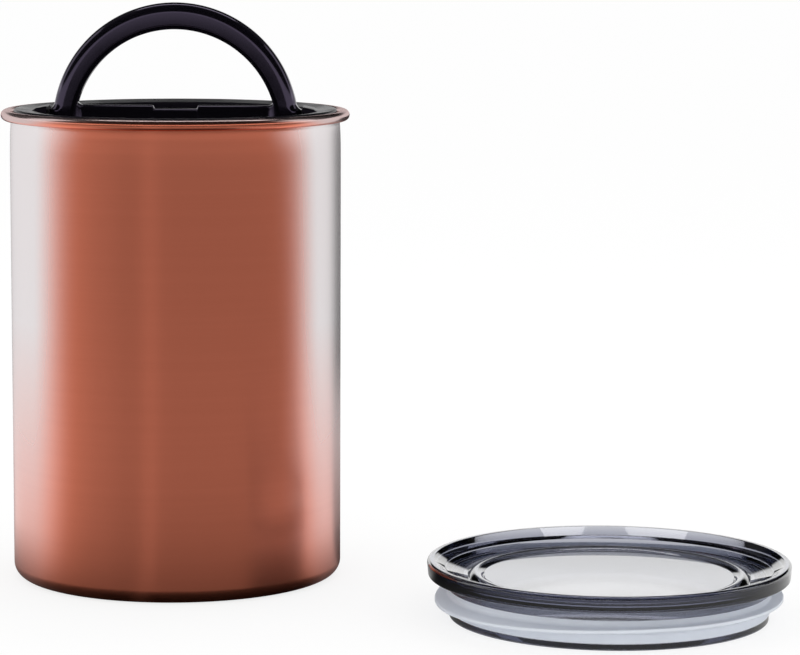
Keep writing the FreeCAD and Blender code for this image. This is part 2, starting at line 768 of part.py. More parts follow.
def make_outer_lid():
    """Clear moulded outer lid: a sunk panel, a crest, a hanging rim and a hollow plug with a groove."""
    plug_inner = "lid_plug_radius - lid_plug_wall"
    ring_middle = "(lid_ring_inner + lid_ring_outer) / 2"
    ring_half = "(lid_ring_outer - lid_ring_inner) / 2"
    ring_round = f"(({ring_half}) ^ 2 + lid_ring_rise ^ 2) / (2 * lid_ring_rise)"
    rim_low = "lid_rim_radius - lid_rim_taper"
    crest_side = "lid_crest_height - lid_crest_round"
    body = new_body("outer_lid")
    revolve(body, "lid_shell", [
        ("0", "lid_panel_height - lid_wall"),
        ("lid_ring_outer", "lid_panel_height - lid_wall"),
        (plug_inner, "lid_skirt_height"),
        (plug_inner, "0"),
        ("lid_foot_radius", "0"),
        ("lid_foot_radius", "lid_foot_height"),
        ("lid_plug_radius", "lid_foot_height"),
        ("lid_plug_radius", "lid_neck_height"),
        ("lid_neck_low", "lid_neck_height"),
        ("lid_neck_high", "lid_skirt_height"),
        (rim_low, "lid_skirt_height"),
        ("lid_rim_radius", crest_side, "lid_crest_round", 1),
        ("lid_rim_radius - lid_crest_round", "lid_crest_height"),
        ("lid_rim_radius - lid_crest_width", "lid_crest_height"),
        ("lid_shoulder_radius", "lid_shoulder_height"),
        ("lid_ring_outer", "lid_panel_height", ring_round, 1),
        (ring_middle, "lid_panel_height + lid_ring_rise", ring_round, 1),
        ("lid_ring_inner", "lid_panel_height"),
        ("0", "lid_panel_height"),
    ])
    place_by_lid(body)


def make_lid_gasket():
    """Silicone gasket in the outer lid's groove, with a fin that flares out to the canister's bore."""
    inner = "lid_plug_radius + fit_clearance"
    outer = "lid_plug_radius + gasket_wall"
    body = new_body("lid_gasket")
    revolve(body, "finned_ring", [
        (inner, "lid_foot_height"),
        (outer, "lid_foot_height"),
        (outer, "gasket_fin_low"),
        ("gasket_fin_radius", "gasket_fin_tip"),
        ("gasket_fin_radius", "gasket_fin_tip + gasket_fin_thick"),
        (outer, "gasket_fin_low + gasket_fin_root"),
        (outer, "lid_neck_height"),
        (inner, "lid_neck_height"),
    ])
    place_by_lid(body)


def check_document():
    """Stops if an object failed or a sub-part has no valid solid."""
    for item in DOC.Objects:
        if "Invalid" in item.State or "Error" in item.State:
            raise RuntimeError(f"{item.Label} failed: {item.State}")
    for item in SUB_PARTS:
        shape = item.Shape
        if shape.isNull() or not shape.isValid() or not shape.Solids:
            raise RuntimeError(f"{item.Label} has no valid solid")
        print(f"{item.Label}: {len(shape.Solids)} solid, {shape.Volume:.1f} mm3")


def write_parts():
    """Writes each sub-part to a file that its label names."""
    os.makedirs("parts", exist_ok=True)
    for item in SUB_PARTS:
        item.Shape.exportStep(f"parts/{item.Label}.step")


def main():
    fill_sheet()
    make_canister_shell()
    make_plunger_deck()
    make_plunger_underplate()
    make_wiper_seal()
    make_handle()
    make_pivot_pin("pivot_pin_left", -1)
    make_pivot_pin("pivot_pin_right", 1)
    make_valve_poppet()
    make_valve_washer()
    make_valve_clip()
    make_valve_spring()
    make_outer_lid()
    make_lid_gasket()
    DOC.recompute()
    check_document()
    write_parts()


main()
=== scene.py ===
"""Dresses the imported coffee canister: fine meshes, finishes, studio light and the camera."""
from functools import partial
import json
import math

import bmesh
import bpy
from mathutils import Matrix, Vector


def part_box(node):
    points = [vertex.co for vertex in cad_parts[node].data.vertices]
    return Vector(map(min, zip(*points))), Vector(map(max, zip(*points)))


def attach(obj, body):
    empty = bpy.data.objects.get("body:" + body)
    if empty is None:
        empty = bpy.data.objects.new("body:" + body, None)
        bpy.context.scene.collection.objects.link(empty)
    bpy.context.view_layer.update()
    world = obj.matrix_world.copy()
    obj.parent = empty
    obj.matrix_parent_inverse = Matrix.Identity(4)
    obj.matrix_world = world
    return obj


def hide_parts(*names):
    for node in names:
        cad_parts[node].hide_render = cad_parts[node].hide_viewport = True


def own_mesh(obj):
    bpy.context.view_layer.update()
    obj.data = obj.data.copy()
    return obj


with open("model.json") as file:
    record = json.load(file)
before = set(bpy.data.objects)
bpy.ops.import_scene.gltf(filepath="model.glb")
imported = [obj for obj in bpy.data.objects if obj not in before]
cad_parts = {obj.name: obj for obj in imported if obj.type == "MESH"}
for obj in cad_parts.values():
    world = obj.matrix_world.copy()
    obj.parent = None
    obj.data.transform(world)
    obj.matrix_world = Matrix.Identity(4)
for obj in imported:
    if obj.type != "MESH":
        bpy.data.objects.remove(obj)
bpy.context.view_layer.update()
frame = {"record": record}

bl_info = {
    "name": "Coffee canister with valve",
    "version": (1, 0, 0),
    "blender": (4, 5, 0),
    "location": "View3D > Sidebar > Canister",
    "description": "Builds the dressed pieces of a coffee canister round its packed CAD frame",
    "category": "Object",
}

SHELL_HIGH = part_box("canister_shell")[1]
DECK_LOW, DECK_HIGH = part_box("plunger_deck")
PLATE_LOW, PLATE_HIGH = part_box("plunger_underplate")
SEAL_LOW, SEAL_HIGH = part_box("wiper_seal")
HANDLE_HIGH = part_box("handle")[1]
PIN_LOW, PIN_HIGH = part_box("pivot_pin_right")
POPPET_LOW, POPPET_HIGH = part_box("valve_poppet")
WASHER_LOW, WASHER_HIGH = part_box("valve_washer")
CLIP_LOW, CLIP_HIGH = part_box("valve_clip")
SPRING_LOW, SPRING_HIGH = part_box("valve_spring")
LID_LOW, LID_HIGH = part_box("outer_lid")
GASKET_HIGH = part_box("lid_gasket")[1]
LID_MIDDLE = ((LID_LOW.x + LID_HIGH.x) / 2, (LID_LOW.y + LID_HIGH.y) / 2)
JOINTS = {joint["name"]: joint for joint in frame["record"]["behaviour"]["joints"]}
PIVOT = JOINTS["handle_fold"]["pos_m"][2]

# Steps round a turned piece, the lid and a small rod, and in a rounded corner
AROUND, LID_AROUND, ROD_AROUND = 256, 320, 32
CORNER_STEPS = 6
SMOOTH_ANGLE = math.radians(34)
QUARTER = math.pi / 2
TINY = 1e-7

# Roundings of edges, from crisp to full
CRISP, FINE, EASED, MILD, SOFT, FULL = 0.0002, 0.0003, 0.0004, 0.0005, 0.0006, 0.0008
# Play between two pieces that seat in each other, and how far a cutter runs past what it cuts
PLAY = 0.0001
OVERRUN = 0.001


def length(name, description, default):
    """A size in metres that a user would change."""
    return bpy.props.FloatProperty(
        name=name, description=description, default=default, min=0, precision=5, unit="LENGTH")


def angle(name, description, default):
    """An angle that a user would change, given in degrees."""
    return bpy.props.FloatProperty(
        name=name, description=description, default=math.radians(default), subtype="ANGLE")


def share(name, description, default):
    """A number from 0 to 1."""
    return bpy.props.FloatProperty(
        name=name, description=description, default=default, min=0, max=1, subtype="FACTOR")


def colour(name, description, default):
    """A colour in linear light."""
    return bpy.props.FloatVectorProperty(
        name=name, description=description, default=default, size=3, min=0, max=1, subtype="COLOR")


def power(name, description, default):
    """A lamp's power in watts."""
    return bpy.props.FloatProperty(
        name=name, description=description, default=default, min=0, unit="POWER")


class ShellSizes(bpy.types.PropertyGroup):
    """Sizes and colours of the steel canister."""
    rim_radius: length("Rim radius", "Outer radius of the rolled rim", SHELL_HIGH.x)
    rim_height: length("Rim height", "Height of the rolled rim's top", SHELL_HIGH.z)
    sheet: length("Sheet", "Thickness of the steel", 0.0006)
    curl: length("Curl", "Diameter of the rolled rim", 0.0038)
    curl_end: angle("Curl end", "Where the rolled edge stops under the rim", 115)
    neck: length("Neck", "How far the wall narrows under the rim", 0.00045)
    neck_length: length("Neck length", "How far under the rim the wall starts to narrow", 0.016)
    base_corner: length("Base corner", "Radius between wall and base", 0.0052)
    foot_ring: length("Foot ring", "Width of the ring that it stands on", 0.008)
    base_recess: length("Base recess", "How far the base's middle is raised", 0.002)
    base_slope: length("Base slope", "Width of the slope inside the foot ring", 0.0025)
    copper: colour("Copper", "Colour of the coated steel", (0.84, 0.24, 0.143))
    copper_deep: colour("Deep copper", "Colour of the coat's darker streaks", (0.82, 0.231, 0.137))
    coat: colour("Coat", "Colour of the coat where it turns away", (0.83, 0.80, 0.81))
    rim_coat: colour("Rim coat", "Colour of the rim's coat where it turns away", (0.62, 0.49, 0.48))


class InnerLidSizes(bpy.types.PropertyGroup):
    """Sizes and colours of the inner lid."""
    ear_rise: length("Ear rise", "Height of the pivot ears over the flange", 0.0007)
    ear_reach: length("Ear reach", "How far the ears stand into the well", 0.0039)
    ear_width: length("Ear width", "Width of the pivot ears", 0.013)
    flange_width: length("Flange width", "Width of the flange round the well", 0.0086)
    flange_thick: length("Flange thickness", "Thickness of the flange", 0.002)
    flange_dish: length("Flange dish", "How far the flange falls towards the well", 0.001)
    flange_lip: length("Flange lip", "Depth of the flange's turned-down edge", 0.003)
    well_wall: length("Well wall", "Thickness of the well's wall", 0.002)
    well_depth: length("Well depth", "Depth of the well's floor", 0.0121)
    floor_thick: length("Floor thickness", "Thickness of the well's floor", 0.002)
    skirt_depth: length("Skirt depth", "Height of the skirt under the floor", 0.0066)
    cup_radius: length("Cup radius", "Radius of the valve's cup", 0.014)
    cup_depth: length("Cup depth", "Depth of the valve's cup", 0.0056)
    seat_radius: length("Seat radius", "Radius of the valve's seat", 0.00975)
    plate_thick: length("Plate thickness", "Thickness of the lower plate", 0.002)
    slot_width: length("Slot width", "Width of the vent slots", 0.003)
    slot_inner: length("Slot inner end", "Where the vent slots start", 0.014)
    slot_outer: length("Slot outer end", "Where the vent slots end", 0.026)
    black: colour("Deck black", "Colour of the moulded deck", (0.0030, 0.0028, 0.0036))
    grey: colour("Valve grey", "Colour of the valve's moulding", (0.05, 0.05, 0.056))
    rubber: colour("Seal", "Colour of the black silicone", (0.02, 0.02, 0.022))
    steel: colour("Steel", "Colour of pins, clip and spring", (0.62, 0.62, 0.6))


class HandleSizes(bpy.types.PropertyGroup):
    """Sizes and colour of the folding handle."""
    arch_drop: length("Arch drop", "How far the arch's circle lies under the pivot", 0.00075)
    arch_radius: length("Arch radius", "Outer radius of the arch", HANDLE_HIGH.z - PIVOT + 0.00075)
    arch_width: length("Arch width", "Width of the arch beside the pivot", 0.00785)
    grip_drop: length("Grip drop", "How far the grip's circle lies under the pivot", 0.00265)
    thick: length("Thickness", "Thickness of the arch from front to back", 0.009)
    foot_length: length("Foot length", "Length of the pivot feet", 0.01)
    flare_rise: length("Flare rise", "Height at which the arch starts", 0.0078)
    flare_radius: length("Flare radius", "Hollow radius between foot and arch", 0.0035)
    outer_round: length("Outer rounding", "Rounding of the arch's outer edges", 0.0037)
    inner_round: length("Inner rounding", "Rounding of the grip's edges", 0.0019)
    bar_rise: length("Bar rise", "Height of the cross bar's top over the pivot", 0.0068)
    bar_thick: length("Bar thickness", "Thickness of the cross bar", 0.0068)
    bar_taper: length("Bar taper", "How much each side of the cross bar draws in towards its top", 0.0012)
    bar_round: length("Bar rounding", "Rounding of the cross bar's top edges", 0.0021)
    notch_width: length("Notch width", "Width of the finger notch", 0.016)
    notch_depth: length("Notch depth", "Depth of the finger notch", 0.00125)
    web: length("Web", "Hollow radius between cross bar and arch", 0.0022)
    cheek: length("Cheek", "How far the cross bar's front swells out beside the arch", 0.0024)
    cam_radius: length("Cam radius", "Radius of the valve's cam", 0.0038)
    cam_offset: length("Cam offset", "How far the cam lies off the pivot", 0.0008)
    cam_half: length("Cam half width", "Half the cam's width", 0.0052)
    black: colour("Handle black", "Colour of the moulded handle", (0.0030, 0.0026, 0.0042))


class LidSizes(bpy.types.PropertyGroup):
    """Sizes and colours of the outer lid and its gasket."""
    rim_radius: length("Rim radius", "Radius of the lid's rim", (LID_HIGH.x - LID_LOW.x) / 2)
    crest: length("Crest", "Height of the lid's crest", LID_HIGH.z)
    foot_radius: length("Foot radius", "Radius of the lid's foot", 0.0559)
    foot_height: length("Foot height", "Height of the foot's lip", 0.0024)
    foot_bevel: length("Foot bevel", "Height of the slope inside the foot", 0.002)
    plug_radius: length("Plug radius", "Radius of the plug behind the gasket", 0.0544)
    plug_wall: length("Plug wall", "Thickness of the plug", 0.002)
    neck_height: length("Neck height", "Where the neck starts", 0.0104)
    neck_low: length("Neck low radius", "Radius of the neck's lower end", 0.0569)
    neck_high: length("Neck high radius", "Radius of the neck's upper end", 0.0578)
    skirt_height: length("Skirt height", "Height of the rim's lower edge", 0.0143)
    rim_taper: length("Rim taper", "How much narrower the rim is below", 0.0005)
    crest_round: length("Crest rounding", "Rounding of the crest's outer edge", 0.0022)
    crest_width: length("Crest width", "Width of the crest", 0.0026)
    shoulder_radius: length("Shoulder radius", "Radius of the inner shoulder", 0.0574)
    shoulder_height: length("Shoulder height", "Height of the inner shoulder", 0.0172)
    ring_outer: length("Ring outer radius", "Outer radius of the raised ring", 0.0494)
    ring_inner: length("Ring inner radius", "Inner radius of the raised ring", 0.0437)
    ring_rise: length("Ring rise", "Height of the raised ring", 0.0011)
    panel_height: length("Panel height", "Height of the middle panel", 0.0143)
    wall: length("Wall", "Thickness of the panel", 0.0012)
    gasket_wall: length("Gasket wall", "Thickness of the gasket", 0.0018)
    fin_low: length("Fin low", "Where the fin leaves the gasket", 0.0056)
    fin_tip: length("Fin tip", "Height of the fin's tip", 0.0074)
    fin_root: length("Fin root", "Thickness of the fin's root", 0.0024)
    fin_thick: length("Fin thickness", "Thickness of the fin's edge", 0.0011)
    fin_sag: length("Fin sag", "How far the soft fin sags on its left", 0.0026)
    smoke: colour("Smoke", "What the clear plastic lets through", (0.96, 0.965, 0.975))
    smoke_deep: colour("Deep smoke", "What a thick stretch lets through", (0.5, 0.515, 0.61))
    frost: colour("Frost", "Colour of the translucent silicone", (0.9, 0.94, 1.0))


class StageSettings(bpy.types.PropertyGroup):
    """Light and camera."""
    ambient: share("Ambient", "Light that the world gives to matt surfaces", 1.0)
    front: share("Front", "How bright the room in front looks in gloss", 1.0)
    overhead: share("Overhead", "How bright the room looks overhead in gloss", 0.06)
    shadow: share("Shadow", "How strongly the floor shows its shadows", 0.2)
    top: power("Top lamp", "Power of the soft lamp above the back", 1.2)
    side: power("Side lamps", "Power of the two soft lamps beside", 1.0)
    focal: bpy.props.FloatProperty(
        name="Focal length", description="Focal length of the camera", default=146.76, unit="CAMERA")
    eye: bpy.props.FloatVectorProperty(
        name="Camera place", description="Where the camera stands", subtype="TRANSLATION",
        default=(0.09237, -1.1938, 0.24817), precision=5)
    pitch: bpy.props.FloatProperty(
        name="Pitch", description="How far the camera looks down", default=0.1301, subtype="ANGLE")
    yaw: bpy.props.FloatProperty(
        name="Yaw", description="How far the camera turns to the right", default=-0.0083, subtype="ANGLE")
    roll: bpy.props.FloatProperty(
        name="Roll", description="How far the camera leans", default=0.0041, subtype="ANGLE")


def rounded(corners):
    """A closed outline whose corners (x, y, radius) become arcs. A corner with no radius stays sharp."""
    points = []
    for index, corner in enumerate(corners):
        here = Vector(corner[:2])
        if len(corner) == 2:
            points.append(here)
            continue
        back = Vector(corners[index - 1][:2]) - here
        on = Vector(corners[(index + 1) % len(corners)][:2]) - here
        half = back.angle(on) / 2
        most = 0.49 * min(back.length, on.length)
        reach = min(corner[2] / math.tan(half), most)
        radius = reach * math.tan(half)
        back.normalize()
        on.normalize()
        middle = here + (back + on).normalized() * (radius / math.sin(half))
        start = here + back * reach - middle
        end = here + on * reach - middle
        sweep = start.angle_signed(end)
        for step in range(CORNER_STEPS + 1):
            turn = -sweep * step / CORNER_STEPS
            points.append(middle + Vector((
                start.x * math.cos(turn) - start.y * math.sin(turn),
                start.x * math.sin(turn) + start.y * math.cos(turn))))
    return points


def arc(middle, radius, start, end, steps):
    """Points on an arc, with its angles in degrees."""
    angles = [math.radians(start + (end - start) * step / steps) for step in range(steps + 1)]
    return [Vector((middle[0] + radius * math.cos(a), middle[1] + radius * math.sin(a))) for a in angles]


def rod(radius, low, high, *edge):
    """The outline of a rod between two ends, whose edges may be rounded."""
    return rounded([(0, low), (radius, low, *edge), (radius, high, *edge), (0, high)])


def new_object(name, build):
    """Puts a bmesh into a new object of the scene."""
    bmesh.ops.remove_doubles(build, verts=build.verts, dist=TINY)
    bmesh.ops.recalc_face_normals(build, faces=build.faces)
    mesh = bpy.data.meshes.new(name)
    build.to_mesh(mesh)
    build.free()
    piece = bpy.data.objects.new(name, mesh)
    bpy.context.scene.collection.objects.link(piece)
    return piece


def skin(build, rings, closed_row=False):
    """Covers closed rings of vertices with faces. A ring of one vertex is a pole."""
    pairs = list(zip(rings, rings[1:]))
    if closed_row:
        pairs.append((rings[-1], rings[0]))
    for first, second in pairs:
        count = max(len(first), len(second))
        for at in range(count):
            after = (at + 1) % count
            corners = []
            for row, order in ((first, (at, after)), (second, (after, at))):
                corners += [row[0]] if len(row) == 1 else [row[order[0]], row[order[1]]]
            if len(corners) > 2:
                build.faces.new(corners)


def capped(name, build, rings):
    """A closed solid between a row of rings."""
    skin(build, rings)
    build.faces.new(rings[0])
    build.faces.new(rings[-1])
    return new_object(name, build)


def turned(name, outline, middle=(0, 0), around=AROUND, bend=None):
    """Turns a closed outline of radius and height round an upright axis. A bend moves each point."""
    build = bmesh.new()
    rings = []
    for radius, height in outline:
        if radius < TINY:
            rings.append([build.verts.new((middle[0], middle[1], height))])
            continue
        ring = []
        for step in range(around):
            turn = math.tau * step / around
            wide, high = bend(turn, radius, height) if bend else (radius, height)
            ring.append(build.verts.new((
                middle[0] + wide * math.cos(turn), middle[1] + wide * math.sin(turn), high)))
        rings.append(ring)
    on_axis = len(rings[0]) == 1 and len(rings[-1]) == 1
    skin(build, rings, closed_row=not on_axis)
    return new_object(name, build)


def turned_along_x(name, outline, around=ROD_AROUND, place=(0, 0, PIVOT)):
    """Turns an outline of radius and length round an axis along X, by default the handle's pivot."""
    piece = turned(name, outline, around=around)
    along = Matrix(((0, 0, 1, 0), (0, 1, 0, 0), (-1, 0, 0, 0), (0, 0, 0, 1)))
    piece.data.transform(Matrix.Translation(place) @ along)
    return piece


def drawn_out(name, outline, low, high, edge=0.0, steps=3):
    """Draws an outline in X and Y out along Z, and rounds its end edges."""
    build = bmesh.new()
    rings = [[build.verts.new((point.x, point.y, height)) for point in outline] for height in (low, high)]
    skin(build, rings)
    caps = [build.faces.new(rings[0]), build.faces.new(rings[1])]
    bmesh.ops.recalc_face_normals(build, faces=build.faces)
    if edge:
        around_caps = list({rim for cap in caps for rim in cap.edges})
        bmesh.ops.bevel(
            build, geom=around_caps, offset=edge, segments=steps, profile=0.5, affect="EDGES")
    return new_object(name, build)


def remove(piece):
    """Deletes a helper object and its mesh."""
    mesh = piece.data
    bpy.data.objects.remove(piece)
    bpy.data.meshes.remove(mesh)


def apply_modifiers(piece):
    """Bakes a piece's modifiers into its mesh."""
    shown = piece.evaluated_get(bpy.context.evaluated_depsgraph_get())
    mesh = bpy.data.meshes.new_from_object(shown)
    before = piece.data
    piece.modifiers.clear()
    piece.data = mesh
    mesh.name = piece.name
    bpy.data.meshes.remove(before)


def combine(piece, tools, operation):
    """Joins solids to a piece, or cuts them out of it, and deletes them."""
    for tool in tools:
        step = piece.modifiers.new(tool.name, "BOOLEAN")
        step.operation = operation
        step.solver = "EXACT"
        step.object = tool
    apply_modifiers(piece)
    for tool in tools:
        remove(tool)


def finish_piece(piece, body, material, nodes):
    """Shades a piece, gives it its finish and lets it ride on its body in place of its CAD nodes."""
    if not piece.data.polygons:
        raise RuntimeError(f"{piece.name} came out empty")
    piece.data.shade_smooth()
    piece.data.set_sharp_from_angle(angle=SMOOTH_ANGLE)
    weigh = piece.modifiers.new("flat_faces", "WEIGHTED_NORMAL")
    weigh.keep_sharp = True
    apply_modifiers(piece)
    piece.data.materials.clear()
    piece.data.materials.append(material)
    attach(piece, body)
    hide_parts(*nodes)


class Nodes:
    """The node tree of a material or a world, with short ways to add and join nodes."""

    def __init__(self, owner, output):
        owner.use_nodes = True
        self.owner = owner
        self.tree = owner.node_tree
        self.tree.nodes.clear()
        self.output = self.add(output)

    def add(self, kind, inputs=None, **settings):
        """A new node, with its inputs set or joined."""
        node = self.tree.nodes.new(kind)
        for name, value in settings.items():
            setattr(node, name, value)
        for name, value in (inputs or {}).items():
            if isinstance(value, bpy.types.NodeSocket):
                self.tree.links.new(value, node.inputs[name])
            else:
                node.inputs[name].default_value = value
        return node

    def link(self, source, target):
        """Joins two sockets."""
        self.tree.links.new(source, target)

    def place(self, scale):
        """Object coordinates, scaled along each axis."""
        coordinates = self.add("ShaderNodeTexCoord")
        return self.add("ShaderNodeMapping", {
            "Vector": coordinates.outputs["Object"], "Scale": scale}).outputs["Vector"]

    def noise(self, scale, detail=4.0, roughness=0.55):
        """Noise in metres: scale is how many times it changes in a metre along each axis."""
        return self.add("ShaderNodeTexNoise", {
            "Vector": self.place(scale), "Scale": 1.0, "Detail": detail, "Roughness": roughness,
        }).outputs["Fac"]

    def between(self, value, low, high, start=0.3, end=0.7, kind="LINEAR"):
        """Maps a value from start..end to low..high."""
        return self.add("ShaderNodeMapRange", {
            "Value": value, "From Min": start, "From Max": end, "To Min": low, "To Max": high,
        }, interpolation_type=kind).outputs["Result"]

    def blend(self, value, first, second):
        """Mixes two colours by a value."""
        mix = self.add("ShaderNodeMix", data_type="RGBA")
        self.link(value, mix.inputs[0])
        mix.inputs[6].default_value = (*first, 1)
        mix.inputs[7].default_value = (*second, 1)
        return mix.outputs[2]

    def bump(self, height, strength, distance):
        """A bump normal from a height."""
        return self.add("ShaderNodeBump", {
            "Height": height, "Strength": strength, "Distance": distance}).outputs["Normal"]

    def reckon(self, first, second, operation):
        """Works out one value from two, or from the first alone."""
        return self.add("ShaderNodeMath", {0: first, 1: second}, operation=operation).outputs[0]

    def shine(self, inputs):
        """The main shader."""
        return self.add("ShaderNodeBsdfPrincipled", inputs)

    def show(self, shader):
        """Puts a shader on the surface and gives back the material or world."""
        self.link(shader.outputs[0], self.output.inputs["Surface"])
        return self.owner

    def layers(self, amount, under, over):
        """Shows one shader over another, by an amount."""
        return self.show(self.add("ShaderNodeMixShader", {
            0: amount, 1: under.outputs[0], 2: over.outputs[0]}))

    def pass_light(self, shader, tint):
        """Shows a shader whose shadow is tinted light, as a clear or milky piece casts."""
        clear = self.add("ShaderNodeBsdfTransparent", {"Color": (*tint, 1)})
        return self.layers(self.add("ShaderNodeLightPath").outputs["Is Shadow Ray"], shader, clear)


def new_finish(name):
    """The nodes of a new material."""
    return Nodes(bpy.data.materials.new(name), "ShaderNodeOutputMaterial")


def pale_share(finish):
    """How far a coat's gloss covers the metal: nothing face on or from above, and nearly all at the sides."""
    lift = (0, 0, 0.55)
    most, start, end = 0.97, 0.23, 0.52
    normal = finish.add("ShaderNodeNewGeometry").outputs["Normal"]
    raised = finish.add("ShaderNodeVectorMath", {0: normal, 1: lift}, operation="ADD").outputs[0]
    raised = finish.add("ShaderNodeVectorMath", {0: raised}, operation="NORMALIZE").outputs[0]
    facing = finish.add("ShaderNodeLayerWeight", {"Blend": 0.5, "Normal": raised}).outputs["Facing"]
    return finish.between(facing, 0.0, most, start, end, "SMOOTHSTEP")


def upward(finish, output, source):
    """The part of a position or a normal that points up."""
    value = finish.add(source).outputs[output]
    return finish.add("ShaderNodeSeparateXYZ", {0: value}).outputs["Z"]


def brushed_copper(sizes):
    """Steel brushed round the body under a copper-coloured coat that pales where it turns away."""
    finish = new_finish("brushed_copper")
    fine = finish.noise((24, 24, 1400), detail=1.0, roughness=0.5)
    broad = finish.noise((5, 5, 420), detail=4.0, roughness=0.65)
    tint = finish.blend(finish.between(broad, 0, 1), sizes.copper, sizes.copper_deep)
    normal = finish.bump(fine, 0.04, 0.00002)
    around = finish.add("ShaderNodeTangent", direction_type="RADIAL", axis="Z").outputs["Tangent"]
    metal = finish.shine({
        "Base Color": tint, "Metallic": 1.0, "Roughness": finish.between(broad, 0.285, 0.325),
        "Anisotropic": 0.7, "Anisotropic Rotation": 0.25, "Tangent": around, "Normal": normal})
    coat = finish.add("ShaderNodeBsdfAnisotropic", {
        "Color": (*sizes.coat, 1), "Roughness": 0.25, "Anisotropy": 0.5, "Rotation": 0.25,
        "Normal": normal, "Tangent": around})
    # Painted shade: the pale coat's share falls with height, from whole at 0.097 m down to 0.18 at the base,
    # so the wall's pale sides turn pinker and dimmer towards the floor in place of the floor's shade there.
    height = upward(finish, "Object", "ShaderNodeTexCoord")
    deepest_shade_share, base, whole = 0.18, 0.0, 0.097
    upper = finish.between(height, deepest_shade_share, 1.0, base, whole)
    return finish.layers(finish.reckon(pale_share(finish), upper, "MULTIPLY"), metal, coat)


def rolled_copper(sizes):
    """The rolled rim: the same coat, burnished smooth by the rolling, with fine scuffs round it."""
    finish = new_finish("rolled_copper")
    scuff = finish.noise((60, 60, 1800), detail=4.0)
    normal = finish.bump(scuff, 0.04, 0.00002)
    metal = finish.shine({
        "Base Color": finish.blend(finish.between(scuff, 0, 1), sizes.copper, sizes.copper_deep),
        "Metallic": 1.0, "Roughness": finish.between(scuff, 0.2, 0.265), "Normal": normal})
    coat = finish.add("ShaderNodeBsdfAnisotropic", {
        "Color": (*sizes.rim_coat, 1), "Roughness": 0.2, "Normal": normal})
    # Painted shade: the pale coat is held back where the rim faces down, to 0.2 of its share facing the
    # floor, so the line under the rim stays dark as if in shade.
    up = upward(finish, "Normal", "ShaderNodeNewGeometry")
    deepest_shade_share, under, side = 0.2, -0.9, -0.4
    above = finish.between(up, deepest_shade_share, 1.0, under, side)
    return finish.layers(finish.reckon(pale_share(finish), above, "MULTIPLY"), metal, coat)


def moulded_plastic(name, tone, roughness, grain, bump, gloss):
    """Moulded plastic with a fine spark-eroded grain and uneven gloss."""
    finish = new_finish(name)
    fine = finish.noise((grain, grain, grain), detail=2.0)
    broad = finish.noise((90, 90, 90), detail=3.0)
    darker = [part * 0.75 for part in tone]
    shader = finish.shine({
        "Base Color": finish.blend(finish.between(broad, 0, 1), tone, darker),
        "Roughness": finish.between(broad, roughness * 0.85, roughness * 1.2),
        "Specular IOR Level": gloss, "Specular Tint": (0.78, 0.64, 1.0, 1.0),
        "Normal": finish.bump(fine, bump, 0.00004)})
    return finish.show(shader)


def black_silicone(tone):
    """Matt silicone with a little dust in its sheen."""
    finish = new_finish("black_silicone")
    broad = finish.noise((140, 140, 140), detail=5.0)
    lighter = [part * 1.9 for part in tone]
    shader = finish.shine({
        "Base Color": finish.blend(finish.between(broad, 0, 1), tone, lighter),
        "Roughness": finish.between(broad, 0.5, 0.66), "IOR": 1.41, "Sheen Weight": 0.15,
        "Normal": finish.bump(finish.noise((2600, 2600, 2600)), 0.08, 0.00004)})
    return finish.show(shader)


def bright_steel(tone):
    """Drawn steel wire and pins."""
    finish = new_finish("bright_steel")
    fine = finish.noise((900, 2200, 2200), detail=4.0)
    darker = [part * 0.82 for part in tone]
    shader = finish.shine({
        "Base Color": finish.blend(finish.between(fine, 0, 1), tone, darker), "Metallic": 1.0,
        "Roughness": finish.between(fine, 0.2, 0.34),
        "Normal": finish.bump(fine, 0.06, 0.00003)})
    return finish.show(shader)


def smoke_plastic(sizes):
    """Clear smoke-grey plastic: tinted by its depth, with a faint moulding haze."""
    finish = new_finish("smoke_plastic")
    haze = finish.noise((35, 35, 35), detail=4.0)
    glass = finish.shine({
        "Base Color": finish.blend(finish.between(haze, 0, 1), sizes.smoke, [c * 0.97 for c in sizes.smoke]),
        "Roughness": finish.between(haze, 0.015, 0.05), "IOR": 1.49, "Transmission Weight": 1.0,
        "Coat Weight": 1.0, "Coat IOR": 1.6, "Coat Roughness": 0.02,
        "Normal": finish.bump(finish.noise((160, 160, 160), detail=2.0), 0.03, 0.0001)})
    depth = finish.add("ShaderNodeVolumeAbsorption", {"Color": (*sizes.smoke_deep, 1), "Density": 260.0})
    finish.link(depth.outputs[0], finish.output.inputs["Volume"])
    return finish.pass_light(glass, sizes.smoke)


def frosted_silicone(sizes):
    """Milky translucent silicone."""
    finish = new_finish("frosted_silicone")
    cloud = finish.noise((60, 60, 60), detail=4.0)
    body = finish.shine({
        "Base Color": finish.blend(finish.between(cloud, 0, 1), sizes.frost, [c * 0.95 for c in sizes.frost]),
        "Roughness": finish.between(cloud, 0.34, 0.46), "IOR": 1.41, "Transmission Weight": 0.25,
        "Normal": finish.bump(finish.noise((1500, 1500, 1500), detail=2.0), 0.05, 0.00005)})
    return finish.pass_light(body, (0.75, 0.78, 0.82))


